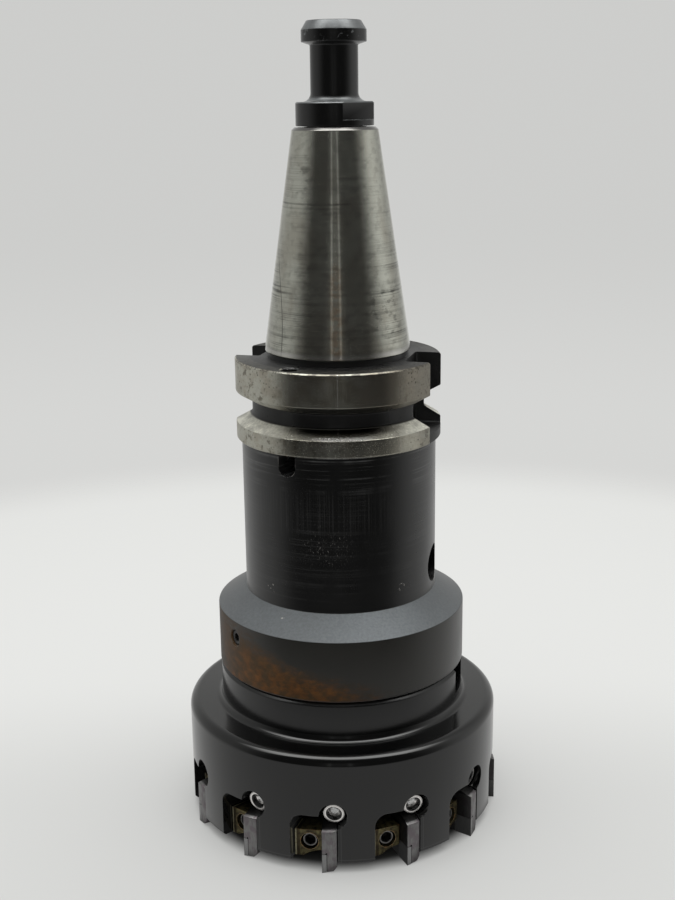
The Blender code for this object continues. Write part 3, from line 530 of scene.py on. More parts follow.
def make_cutter_body(material):
    top_z = CUTTER_HIGH.z
    hub_centre = (HUB_RADIUS + HUB_ROUND, CUTTER_TOP_Z + HUB_ROUND)
    shoulder_centre = (CUTTER_RADIUS - SHOULDER_ROUND, CUTTER_TOP_Z - SHOULDER_ROUND)
    profile = rounded([
        (HUB_RADIUS - HUB_EDGE, top_z, 0.3 * MM),
        (HUB_RADIUS, top_z - HUB_EDGE, 0.3 * MM),
        *arc(hub_centre, HUB_ROUND, 180.0, 270.0, 8),
        *arc(shoulder_centre, SHOULDER_ROUND, 90.0, 0.0, 12),
        (CUTTER_RADIUS, CUTTER_BOTTOM_Z + CUTTER_EDGE, 0.2 * MM),
        (CUTTER_RADIUS - CUTTER_EDGE, CUTTER_BOTTOM_Z, 0.2 * MM),
        (RECESS_OUTER_RADIUS, CUTTER_BOTTOM_Z, 0.4 * MM),
        (RECESS_INNER_RADIUS, RECESS_TOP_Z, 0.8 * MM),
        (COUNTERBORE_RADIUS, RECESS_TOP_Z, 0.4 * MM),
        (COUNTERBORE_RADIUS, COUNTERBORE_TOP_Z, 0.0),
        (CUTTER_BORE_RADIUS, COUNTERBORE_TOP_Z, 0.0),
        (CUTTER_BORE_RADIUS, top_z, 0.0),
    ])
    body = turned("cutter_body_shell", profile, closed=True)
    adjuster = hinge_frame("adjusting_screw_01_turn")
    lifted = Matrix.Translation((0.0, 0.0, ADJUSTER_RECESS_RISE)) @ adjuster
    wedge_screw = hinge_frame("wedge_screw_01_turn")
    cutters = [
        slot_cutter(),
        repeat_round(drill(ADJUSTER_RECESS_RADIUS, -ADJUSTER_RECESS_DEPTH, 8 * MM, lifted),
                     POCKETS),
        repeat_round(drill(ADJUSTER_HOLE_RADIUS, -ADJUSTER_LENGTH - MM, 0.0, adjuster, 24),
                     POCKETS),
        repeat_round(drill(WEDGE_SCREW_RADIUS + GAP, -WEDGE_SCREW_HOLE_LENGTH, 0.0,
                           wedge_screw, 24), POCKETS),
    ]
    for turn in HALF_TURNS:
        slot = bar((CUTTER_BORE_RADIUS - MM, -KEY_SLOT_WIDTH / 2, KEY_SLOT_FLOOR_Z),
                   (HUB_RADIUS + MM, KEY_SLOT_WIDTH / 2, SEAT_Z + MM), around(KEY_ANGLE + turn))
        cutters.append(break_edges(slot, 0.6 * MM, 3))
    carve(body, cutters)
    settle(body, TOOL, "cutter_body", material)


# ---------------------------------------------------------------- pieces of one pocket
def socket_screw(profile, socket, depth, mouth=None):
    """A turned screw with a hexagon socket in its face, a drill point under it and a mouth."""
    screw = turned("screw", rounded(profile), SMALL_STEPS)
    corners = socket / math.sqrt(3.0)
    mouth = mouth or corners + 0.1 * MM
    point_length, point_radius, overlap = 0.35 * socket, 0.45 * socket, 0.01 * MM
    flare, lead = 2.0, 0.1 * MM
    bottom = 0.86 * corners
    return carve(screw, [
        drill(corners, -depth, MM, steps=6),
        drill(overlap, -depth - point_length, -depth + overlap, steps=24,
              top_radius=point_radius),
        drill(bottom, (bottom - mouth) / flare, lead, top_radius=mouth + flare * lead),
    ])


def set_screw(radius, length, socket, depth):
    edge = 0.3 * MM
    return socket_screw([
        (0.0, 0.0, 0.0), (radius - edge, 0.0, 0.1 * MM), (radius, -edge, 0.1 * MM),
        (radius, -length + 2 * edge, 0.0), (radius - 2 * edge, -length, 0.0), (0.0, -length, 0.0),
    ], socket, depth)


def adjusting_screw():
    """Cone-headed screw: turned in, its cone presses the blade down out of the body."""
    rim = 0.25 * MM
    return socket_screw([
        (0.0, 0.0, 0.0),
        (ADJUSTER_HEAD_RADIUS - rim, 0.0, 0.12 * MM),
        (ADJUSTER_HEAD_RADIUS, -rim, 0.12 * MM),
        (ADJUSTER_THREAD_RADIUS, -ADJUSTER_CONE_LENGTH, 0.0),
        (ADJUSTER_THREAD_RADIUS, -ADJUSTER_LENGTH + rim, 0.0),
        (ADJUSTER_THREAD_RADIUS - 2 * rim, -ADJUSTER_LENGTH, 0.0),
        (0.0, -ADJUSTER_LENGTH, 0.0),
    ], ADJUSTER_SOCKET, ADJUSTER_SOCKET_DEPTH, ADJUSTER_MOUTH)


def lofted(name, sections):
    """A closed mesh through outlines of equal length in XZ planes, given as (y, outline)."""
    bm = bmesh.new()
    rings = [[bm.verts.new((x, y, z)) for x, z in outline] for y, outline in sections]
    bm.faces.new(rings[0])
    bm.faces.new(rings[-1])
    for first, second in zip(rings, rings[1:]):
        for i in range(len(first)):
            j = (i + 1) % len(first)
            bm.faces.new((first[i], first[j], second[j], second[i]))
    bmesh.ops.recalc_face_normals(bm, faces=bm.faces)
    return object_from(name, bm)


def blade():
    """Blade bar: its lower outer corner holds the diamond tip, with relief ground behind it."""
    half = BLADE_THICKNESS / 2
    tip = math.sqrt(BLADE_TIP_RADIUS ** 2 - half ** 2)
    flat_z = BLADE_TOP_OUTER_Z + (tip - BLADE_TOP_FLAT_AT) * BLADE_TOP_SLOPE

    def section(y, relief, rise):
        outer = tip - relief
        return y, [(outer, rise), (outer, BLADE_TOP_OUTER_Z), (BLADE_TOP_FLAT_AT, flat_z),
                   (BLADE_INNER, flat_z), (BLADE_INNER, BLADE_DISH + rise)]

    bar_body = lofted("blade", [
        section(-half, 0.0, 0.0),
        section(half - BLADE_BACK_CHAMFER, BLADE_RELIEF, BLADE_LOW_RELIEF),
        section(half, BLADE_RELIEF + 0.4 * MM, BLADE_LOW_RELIEF + 1.3 * MM),
    ])
    break_edges(bar_body, 0.14 * MM)
    seam = 0.07 * MM
    notch_top = TIP_HEIGHT + seam
    notch = bar((tip - TIP_LENGTH - seam, -half - MM, -MM),
                (tip + MM, -half + TIP_WIDTH + seam, notch_top))
    pit = drill(0.34 * MM, 0.0, OUTSIDE,
                along((tip - MM, -half + TIP_WIDTH, notch_top + 0.2 * MM), (1.0, 0.0, 0.0)), 16)
    carve(bar_body, [notch, pit])
    share = TIP_WIDTH / (BLADE_THICKNESS - BLADE_BACK_CHAMFER)
    back = tip - BLADE_RELIEF * share
    rise = BLADE_LOW_RELIEF * share
    insert = lofted("tip", [
        (-half, [(tip, 0.0), (tip, TIP_HEIGHT), (tip - TIP_LENGTH, TIP_HEIGHT),
                 (tip - TIP_LENGTH, 0.1 * MM)]),
        (-half + TIP_WIDTH, [(back, rise), (back, TIP_HEIGHT), (tip - TIP_LENGTH, TIP_HEIGHT),
                             (tip - TIP_LENGTH, 0.1 * MM + rise)]),
    ])
    return bar_body, insert


def wedge():
    """Clamping wedge between the blade's cutting face and the slot's radial wall."""
    right = -BLADE_THICKNESS / 2 - GAP
    wall = Vector((math.cos(SLOT_LEFT_ANGLE), math.sin(SLOT_LEFT_ANGLE)))
    inset = Vector((-wall.y, wall.x)) * GAP
    inner_left = wall * WEDGE_INNER + inset
    outer_left = wall * WEDGE_OUTER_LEFT + inset
    block = prism("wedge", [
        tuple(inner_left), tuple(outer_left), (WEDGE_OUTER_RIGHT, right),
        (inner_left.x - 0.6 * MM, right),
    ], WEDGE_LOW_Z, WEDGE_HIGH_Z)
    scoop = drill(WEDGE_SCOOP_RADIUS, 0.0, OUTSIDE,
                  along((0.0, WEDGE_SCOOP_SIDE, WEDGE_SCOOP_Z), (1.0, 0.0, 0.0)), 96)
    carve(block, [scoop])
    break_edges(block, 0.22 * MM)
    pocket = around(FIRST_POCKET_ANGLE).inverted() @ hinge_frame("wedge_screw_01_turn")
    hole = drill(WEDGE_SCREW_RADIUS + GAP, -OUTSIDE, OUTSIDE, pocket)
    carve(block, [hole])
    return block


def make_pockets(materials):
    blade_bar, blade_tip = blade()
    clamp = wedge()
    adjuster = adjusting_screw()
    clamp_screw = set_screw(WEDGE_SCREW_RADIUS, WEDGE_SCREW_LENGTH, WEDGE_SCREW_SOCKET,
                            WEDGE_SCREW_SOCKET_DEPTH)
    for i in range(POCKETS):
        number = f"{i + 1:02d}"
        place = around(FIRST_POCKET_ANGLE + POCKET_STEP * i)
        made = (
            (blade_bar, "blade", "bar", place, "carbide", "blade_carbide"),
            (blade_tip, "blade", "tip", place, "diamond", "blade_carbide"),
            (clamp, "wedge", "block", place, "brass", "wedge_bronze"),
            (adjuster, "adjusting_screw", "cone", hinge_frame(f"adjusting_screw_{number}_turn"),
             "bright_screw", "adjusting_screw_steel"),
            (clamp_screw, "wedge_screw", "grub", hinge_frame(f"wedge_screw_{number}_turn"),
             "wedge_screw", "dark_screw"),
        )
        for shape, node, kind, frame_at, finish, slot in made:
            piece = copy_at(shape, f"{node}_{kind}_{number}", frame_at)
            settle(piece, f"{node}_{number}", f"{node}_{number}", materials[finish])
    for shape in (blade_bar, blade_tip, clamp, adjuster, clamp_screw):
        bpy.data.objects.remove(shape)


# ---------------------------------------------------------------- clamping parts
def make_lock_screw(material):
    """Screw that pulls the cutter up onto the arbor, turned from below."""
    head, thread, socket = 20.0 * MM, 7.7 * MM, 14.0 * MM
    head_high_z = COUNTERBORE_TOP_Z - GAP
    screw = turned("lock_screw_body", rounded([
        (0.0, LOCK_HIGH.z, 0.0),
        (thread - MM, LOCK_HIGH.z, 0.0),
        (thread, LOCK_HIGH.z - MM, 0.0),
        (thread, head_high_z, 0.0),
        (head, head_high_z, 0.2 * MM),
        (head, LOCK_LOW.z + MM, 0.4 * MM),
        (head - MM, LOCK_LOW.z, 0.4 * MM),
        (0.0, LOCK_LOW.z, 0.0),
    ]), steps=128)
    corners = socket / math.sqrt(3.0)
    carve(screw, [
        drill(corners, LOCK_LOW.z - MM, LOCK_LOW.z + 7.0 * MM, steps=6),
        drill(corners + 2.6 * MM, LOCK_LOW.z - 2.0 * MM, LOCK_LOW.z + 1.4 * MM, steps=96,
              top_radius=corners - 0.8 * MM),
    ])
    settle(screw, TOOL, "lock_screw", material)


def make_drive_keys(material):
    """Two keys in the arbor's face that carry the torque, each held by one screw."""
    inner, outer, half = 19.0 * MM, 33.0 * MM, 7.0 * MM
    middle = (inner + outer) / 2
    head, thread = 4.2 * MM, 2.5 * MM
    head_low_z = KEY_LOW.z + 0.6 * MM
    head_length, length = 5.0 * MM, 20.4 * MM
    bolt = socket_screw([
        (0.0, 0.0, 0.0), (head, 0.0, 0.3 * MM), (head, -head_length, 0.0),
        (thread, -head_length, 0.0), (thread, -length, 0.0), (0.0, -length, 0.0),
    ], 4.0 * MM, 2.5 * MM)
    for number, turn in enumerate(HALF_TURNS, 1):
        place = around(KEY_ANGLE + turn)
        key = bar((inner, -half, KEY_LOW.z), (outer, half, KEY_HIGH.z), place)
        break_edges(key, 0.5 * MM, 3)
        key.name = f"drive_key_{number}_block"
        seat = place @ Matrix.Translation((middle, 0.0, 0.0))
        carve(key, [
            drill(head + GAP, KEY_LOW.z - MM, head_low_z + head_length + GAP, seat),
            drill(thread + GAP, KEY_LOW.z, KEY_HIGH.z + MM, seat),
        ])
        settle(key, TOOL, f"drive_key_{number}", material)
        down = place @ along((middle, 0.0, head_low_z), (0.0, 0.0, -1.0))
        settle(copy_at(bolt, f"key_screw_{number}_bolt", down), TOOL, f"key_screw_{number}",
               material)
    bpy.data.objects.remove(bolt)


def make_set_screws(material):
    """Balance screws in the big flange, and plugs that shut the flange's coolant inlets."""
    socket, depth = 2.5 * MM, 2.2 * MM
    balance = set_screw(WEDGE_SCREW_RADIUS, 6.0 * MM, socket, depth)
    plug = set_screw(COOLANT_FACE_HOLE_RADIUS - GAP, 4.7 * MM, socket, depth)
    balance_at = (BIG_RADIUS - 0.6 * MM, 0.0, BALANCE_Z)
    plug_at = (COOLANT_FACE_HOLE_AT, 0.0, FLANGE_TOP_Z - 2.8 * MM)
    for number, turn in enumerate(HALF_TURNS, 1):
        place = around(BALANCE_ANGLE + turn) @ along(balance_at, (1.0, 0.0, 0.0))
        settle(copy_at(balance, f"balance_screw_{number}_grub", place), TOOL,
               f"balance_screw_{number}", material)
        place = around(COOLANT_ANGLE + turn) @ Matrix.Translation(plug_at)
        settle(copy_at(plug, f"coolant_plug_{number}_grub", place), TOOL,
               f"coolant_plug_{number}", material)
    bpy.data.objects.remove(balance)
    bpy.data.objects.remove(plug)


# ---------------------------------------------------------------- node wiring
# The Mix node has one set of sockets for each kind of value, all with the same names.
MIX_LOW, MIX_HIGH, MIX_LOW_COLOUR, MIX_HIGH_COLOUR, MIX_COLOUR = 2, 3, 6, 7, 2


class Wire:
    """A value running between nodes, with arithmetic."""

    def __init__(self, nodes, socket):
        self.nodes = nodes
        self.socket = socket

    def math(self, operation, *others):
        return self.nodes.add("Math", dict(enumerate((self, *others))), operation=operation)

    def __add__(self, other):
        return self.math("ADD", other)

    __radd__ = __add__

    def __sub__(self, other):
        return self.math("SUBTRACT", other)

    def __rsub__(self, other):
        return self.math("MULTIPLY_ADD", -1.0, other)

    def __mul__(self, other):
        return self.math("MULTIPLY", other)

    __rmul__ = __mul__

    def __truediv__(self, other):
        return self.math("DIVIDE", other)

    def abs(self):
        return self.math("ABSOLUTE")

    def step(self, low, high):
        """Goes smoothly from 0 at low to 1 at high, either way round."""
        return self.nodes.add("MapRange", {"Value": self, "From Min": low, "From Max": high},
                              interpolation_type="SMOOTHSTEP")

    def band(self, low, high, soft):
        """1 between two values, falling to 0 over a soft distance outside them."""
        return self.step(low - soft, low) * self.step(high + soft, high)

    def near(self, value, reach):
        """1 at a value, falling to 0 at a reach from it."""
        return (self - value).abs().step(reach, 0.0)


class Nodes:
    """A node tree being wired: each call adds a node and gives its output."""

    def __init__(self, tree):
        self.tree = tree
        tree.nodes.clear()

    def add(self, kind, inputs=None, output=0, **settings):
        node = self.tree.nodes.new("ShaderNode" + kind)
        for name, value in settings.items():
            setattr(node, name, value)
        for key, value in (inputs or {}).items():
            socket = node.inputs[key]
            if isinstance(value, Wire):
                self.tree.links.new(value.socket, socket)
            elif socket.type == "RGBA" and len(value) == 3:
                socket.default_value = (*value, 1.0)
            else:
                socket.default_value = value
        return Wire(self, node.outputs[output]) if node.outputs else None

    def split(self, vector):
        first = self.add("SeparateXYZ", {0: vector})
        node = first.socket.node
        return [Wire(self, socket) for socket in node.outputs]

    def vector(self, x, y, z):
        return self.add("CombineXYZ", {0: x, 1: y, 2: z})

    def mix(self, low, high, amount):
        """A colour between two."""
        return self.add("Mix", {0: amount, MIX_LOW_COLOUR: low, MIX_HIGH_COLOUR: high},
                        output=MIX_COLOUR, data_type="RGBA")

    def blend(self, low, high, amount):
        """A number between two."""
        return self.add("Mix", {0: amount, MIX_LOW: low, MIX_HIGH: high}, data_type="FLOAT")

    def dim(self, colour, factor):
        """A colour made darker or brighter."""
        return self.add("VectorMath", {0: colour, 3: factor}, operation="SCALE")

    def most(self, *wires):
        total = wires[0]
        for wire in wires[1:]:
            total = total.math("MAXIMUM", wire)
        return total

    def ray(self, kind):
        """1 for rays of a kind, such as camera or glossy ones."""
        wire = self.add("LightPath")
        return Wire(self, wire.socket.node.outputs[f"Is {kind} Ray"])


class Finish(Nodes):
    """A material with the tool's own coordinates: millimetres, and degrees from the front."""

    def __init__(self, name):
        self.material = bpy.data.materials.new(name)
        self.material.use_nodes = True
        super().__init__(self.material.node_tree)
        coordinates = self.add("TexCoord", output="Object")
        self.place = self.add("VectorMath", {0: coordinates, 3: 1 / MM}, operation="SCALE")
        self.x, self.y, self.z = self.split(self.place)
        self.angle = self.x.math("ARCTAN2", self.y * -1.0) * math.degrees(1.0)
        self.radius = (self.x * self.x + self.y * self.y).math("SQRT")

    def noise(self, size, stretch=(1.0, 1.0, 1.0), detail=2.0, roughness=0.5, shift=0.0):
        """Noise with features of about a size in mm, drawn out along axes with a small stretch."""
        vector = self.add("VectorMath", {0: self.place, 1: stretch, 2: (shift,) * 3},
                          operation="MULTIPLY_ADD")
        return self.add("TexNoise", {"Vector": vector, "Scale": 1.0 / size, "Detail": detail,
                                     "Roughness": roughness})

    def rings(self, size, shift=0.0, detail=1.0):
        """Noise drawn out round the axis into lines of about a height in mm."""
        return self.noise(size, (0.01, 0.01, 1.0), detail, shift=shift)

    def streaks(self, degrees, length, shift=0.0, detail=1.0):
        """Noise drawn out along the axis, with streaks of about a width in degrees."""
        vector = self.vector(self.angle / degrees, shift, self.z / length)
        return self.add("TexNoise", {"Vector": vector, "Scale": 1.0, "Detail": detail})

    def pits(self, spacing, share, radius, shift=0.0):
        """Round spots about a spacing apart in mm, where a share of them from 0 to 1 shows."""
        vector = self.add("VectorMath", {0: self.place, 1: (shift,) * 3}, operation="ADD")
        cells = self.add("TexVoronoi", {"Vector": vector, "Scale": 1.0 / spacing})
        colour = Wire(self, cells.socket.node.outputs["Color"])
        pick, size, _ = self.split(colour)
        reach = (size * 0.7 + 0.3) * radius
        return pick.step(share, share - 0.02) * (cells * spacing / reach).step(1.2, 0.6)

    def wear(self, width):
        """1 along edges, from how much a rounded normal differs from the true one."""
        soft = self.add("Bevel", {"Radius": width * MM}, samples=6)
        true = self.add("NewGeometry", output="Normal")
        same = self.add("VectorMath", {0: soft, 1: true}, output="Value",
                        operation="DOT_PRODUCT")
        return (1.0 - same).step(0.01, 0.2)

    def bump(self, height, depth, edge=0.0):
        """A normal from a height of 0 to 1 over a depth in mm, on softened edges if asked."""
        inputs = {"Height": height, "Distance": depth * MM}
        if edge:
            inputs["Normal"] = self.add("Bevel", {"Radius": edge * MM}, samples=6)
        return self.add("Bump", inputs)

    def pocket(self):
        """Places in the nearest pocket, in mm: outwards, and towards growing angles."""
        half = POCKET_STEP / 2
        turn = (self.angle - FIRST_POCKET_ANGLE + half).math("FLOORED_MODULO", POCKET_STEP)
        turn = (turn - half) * math.radians(1.0)
        return self.radius * turn.math("COSINE"), self.radius * turn.math("SINE")

    def about(self, joint):
        """Distance from the axis of the nearest pocket's screw, and height over its face, in mm."""
        screw = around(FIRST_POCKET_ANGLE).inverted() @ hinge_frame(joint)
        axis = tuple(screw.col[2][:3])
        offset = self.add("VectorMath", {0: self.vector(*self.pocket(), self.z),
                                         1: tuple(screw.translation / MM)}, operation="SUBTRACT")
        height = self.add("VectorMath", {0: offset, 1: axis}, output="Value",
                          operation="DOT_PRODUCT")
        length = self.add("VectorMath", {0: offset}, output="Value", operation="LENGTH")
        return (length * length - height * height).math("SQRT"), height

    def grazing_sheen(self, colour, amount=1.0):
        """A colour made paler where the surface turns away from the eye: a painted sheen."""
        facing = self.add("LayerWeight", {"Blend": 0.5}, output="Facing")
        return self.mix(colour, grey(0.12), facing.math("POWER", 3.0) * amount)

    def turned_grain(self, strength):
        """Highlights drawn out along the axis by fine lines that run round it."""
        tangent = self.add("Tangent", direction_type="RADIAL", axis="Z")
        return {"Anisotropic": strength, "Anisotropic Rotation": 0.25, "Tangent": tangent}

    def surface(self, colour, roughness, metallic, normal, **more):
        inputs = {"Base Color": colour, "Roughness": roughness, "Metallic": metallic,
                  "Normal": normal, **more}
        shader = self.add("BsdfPrincipled", inputs)
        self.add("OutputMaterial", {"Surface": shader})
        return self.material


def grey(value, warmth=0.0):
    """A neutral linear colour, with a little more red than blue where warm."""
    return (value * (1 + warmth), value, value * (1 - warmth))


# ---------------------------------------------------------------- finishes
def taper_finish():
    """Ground steel with fine circumferential lines, handling scratches and small pits."""
    f = Finish("ground_taper")
    gauge = GAUGE_PLANE_Z / MM
    rise = (f.z - gauge) / (TAPER_TOP_Z / MM - gauge)
    low = rise.step(0.62, 0.25)
    fine = f.rings(0.22, detail=3.0)
    cloud = f.noise(8.0, (1.0, 1.0, 0.6), detail=5.0, roughness=0.55)
    fog = f.noise(3.0, (1.0, 1.0, 1.6), detail=4.0, shift=25.0)
    arcs = f.noise(13.0, (1.0, 1.0, 0.5), detail=2.0, shift=40.0).step(0.40, 0.66)
    hairs = f.rings(0.30, 11.0).step(0.52, 0.70) * arcs * (0.45 + 0.55 * low)
    bands = f.rings(1.6, 3.0, 3.0).step(0.46, 0.70) * (0.3 + 0.7 * low) * (0.4 + 0.6 * arcs)
    rubbed = f.most(rise.near(0.675, 0.007), rise.near(0.284, 0.009) * 0.9,
                    rise.near(0.31, 0.005) * 0.7, rise.near(0.655, 0.004) * 0.4)
    rubbed = rubbed * f.noise(15.0, (1.0, 1.0, 0.1), shift=7.0).step(0.36, 0.60)
    low_patch = rise.band(0.12, 0.26, 0.10) * f.angle.band(34.0, 58.0, 12.0)
    smear = rise.band(0.74, 0.82, 0.06) * f.angle.band(-52.0, -36.0, 10.0)
    spots = f.most(f.pits(6.5, 0.16, 0.45), f.pits(0.8, 0.45, 0.22, 3.0) * low_patch,
                   f.pits(1.2, 0.30, 0.18, 9.0) * cloud.step(0.52, 0.62))
    drop = f.z - (gauge + 1.0)
    scar = (f.angle + 49.0 + 0.028 * drop * drop) * math.radians(1.0) * f.radius
    scar = scar.abs().step(0.22, 0.08) * rise.band(-0.02, 0.58, 0.02)
    steel = f.mix((0.50, 0.505, 0.445), (0.40, 0.39, 0.335), cloud.step(0.36, 0.66))
    rust = f.angle.near(-1.0, 9.0) * rise.band(0.02, 0.32, 0.18) * fog.step(0.30, 0.60)
    steel = f.mix(steel, (0.50, 0.385, 0.27), rust * 0.8)
    tone = 1.05 - 0.16 * (fine - 0.5).abs() - 0.50 * hairs - 0.62 * rubbed - 0.36 * bands
    tone = tone - 0.42 * fog.step(0.48, 0.68) * f.most(low_patch, smear, 0.45)
    colour = f.dim(steel, tone)
    colour = f.mix(colour, grey(0.04, 0.1), f.most(spots * 0.7, scar * 0.85))
    # A pale ring just above the gauge line: a painted highlight.
    colour = f.mix(colour, grey(0.62, 0.03), rise.near(0.012, 0.02) * 0.6)
    # The top chamfer is painted darker: painted shade that dims its reflection of the overhead
    # light.
    colour = f.mix(colour, grey(0.17, 0.03), rise.step(0.984, 0.990))
    relief = f.z.step(gauge - 0.15, gauge - 0.3)
    bore = KNOB_PILOT_RADIUS / MM
    hidden = f.most(relief, f.radius.step(bore + 1.0, bore + 0.5))
    colour = f.mix(colour, grey(0.01), hidden)
    roughness = 0.12 + 0.06 * cloud + 0.10 * f.most(hairs, rubbed) + 0.25 * hidden
    normal = f.bump(fine * 0.5 - spots - scar, 0.010)
    return f.surface(colour, roughness, 1.0 - 0.9 * hidden, normal, **f.turned_grain(0.9))


def flange_finish():
    """Steel that has lost its black: smooth in the middle, pitted at the sides, dark in hollows."""
    f = Finish("worn_flange")
    top, low, out = FLANGE_TOP_Z / MM, FLANGE_LOW_Z / MM, FLANGE_RADIUS / MM
    cloud = f.noise(6.0, detail=5.0, roughness=0.6)
    grain = f.noise(0.7, detail=4.0, roughness=0.6)
    fine = f.rings(0.25, detail=2.0)
    strokes = f.streaks(2.0, 30.0, 6.0, 3.0)
    front = f.angle.band(-28.0, 32.0, 14.0)
    sides = 1.0 - front
    lower = f.z.step(low + 6.9, low + 5.9)
    spots = f.pits(1.0, 0.6, 0.34, 5.0) * f.most(sides, lower * 0.5) * cloud.step(0.40, 0.55)
    stains = f.noise(2.2, detail=4.0, roughness=0.6, shift=21.0).step(0.52, 0.68)
    bright = f.mix((0.34, 0.335, 0.29), (0.25, 0.235, 0.195), cloud.step(0.4, 0.62))
    right = f.angle.step(6.0, 24.0) * (1.0 - lower) * f.angle.step(100.0, 85.0)
    bright = f.mix(bright, (0.205, 0.185, 0.15), right * 0.75)
    bright = f.mix(bright, (0.10, 0.088, 0.065), stains * f.most(lower * 0.6, sides * 0.85))
    worn_patch = lower * f.angle.band(20.0, 42.0, 12.0)
    bright = f.mix(bright, (0.46, 0.44, 0.37), worn_patch * 0.7)
    level = 0.92 + 0.45 * (grain - 0.5) + 0.25 * (fine - 0.5) + 0.3 * (strokes - 0.5) * front
    bright = f.dim(bright, level + 0.45 * f.angle.step(-20.0, -55.0) + 0.9 * (cloud - 0.5) * sides)
    bright = f.mix(bright, grey(0.03, 0.1), spots * 0.75)
    flank = f.z.band(low + 5.4, low + 8.1, 0.2) * f.radius.step(out - 4.6, out - 4.1)
    flank = flank * f.radius.step(out - 0.02, out - 0.2)
    matt = flank * f.angle.abs().step(16.0, 48.0)
    pale = f.dim((0.62, 0.61, 0.53), 0.4 + 1.1 * grain * cloud.step(0.3, 0.6))
    bright = f.mix(bright, pale, matt)
    # Painted shade: the V-groove's lower flank is darkened at the front, more towards the root.
    inner_flank = f.radius.step(out - 1.5, out - 3.4)
    bright = f.dim(bright, 1.0 - flank * (1.0 - matt) * (0.55 + 0.4 * inner_flank))
    # A thin pale line down the front: a painted highlight.
    front_highlight_line = f.angle.near(-0.4, 0.35) * (1.0 - lower) * fine.step(0.36, 0.5)
    bright = f.mix(bright, grey(0.60, 0.02), front_highlight_line * 0.7)
    root = f.radius.step(out - 4.0, out - 4.6)
    across = f.radius * ((f.angle - DRIVE_SLOT_ANGLE) * math.radians(1.0)).math("SINE").abs()
    walls = across.step(DRIVE_SLOT_WIDTH / MM / 2 + 0.12, DRIVE_SLOT_WIDTH / MM / 2 + 0.04)
    face = f.z.step(top - 0.12, top - 0.04)
    under = f.z.step(low + 0.12, low + 0.04)
    inside = (f.radius - COOLANT_FACE_HOLE_AT / MM).abs().step(2.9, 2.4)
    inside = inside * f.z.band(top - 9.0, top - 0.5, 0.4) * f.radius.step(31.0, 30.6)
    blacked = f.most(root, walls, face * 0.93, under, inside)
    black = f.dim(grey(0.006), 0.6 + 0.8 * cloud)
    black = f.mix(black, grey(0.05), face * grain.step(0.52, 0.62) * 0.4)
    worn = f.wear(0.35) * f.noise(1.1, detail=4.0, shift=3.0).step(0.40, 0.54)
    worn = worn * (1.0 - 0.7 * lower)
    glint = f.angle.band(-4.0, 8.0, 16.0) * f.radius.band(out - 1.2, out - 0.4, 0.5) * lower
    colour = f.mix(bright, black, blacked)
    colour = f.mix(colour, grey(0.66, 0.02), f.most(worn * (1.0 - walls), glint * 0.5))
    rim = f.z.step(top - 0.8, top - 0.4) * f.radius.step(out - 0.9, out - 0.5)
    knocks = f.noise(1.2, (1.0, 1.0, 0.3), detail=4.0, roughness=0.65, shift=71.0)
    knocks = knocks.step(0.47, 0.56)
    colour = f.mix(colour, grey(0.06, 0.1), rim * knocks * 0.7)
    metal = 1.0 - 0.85 * blacked * (1.0 - worn)
    roughness = 0.20 + 0.28 * sides + 0.10 * cloud + 0.15 * spots
    normal = f.bump(grain * 0.5 * sides + fine * 0.2 - spots, 0.03, 0.12)
    metal = metal * (1.0 - f.most(0.35 * sides, 0.85 * matt))
    return f.surface(colour, roughness, metal, normal, **f.turned_grain(0.8))


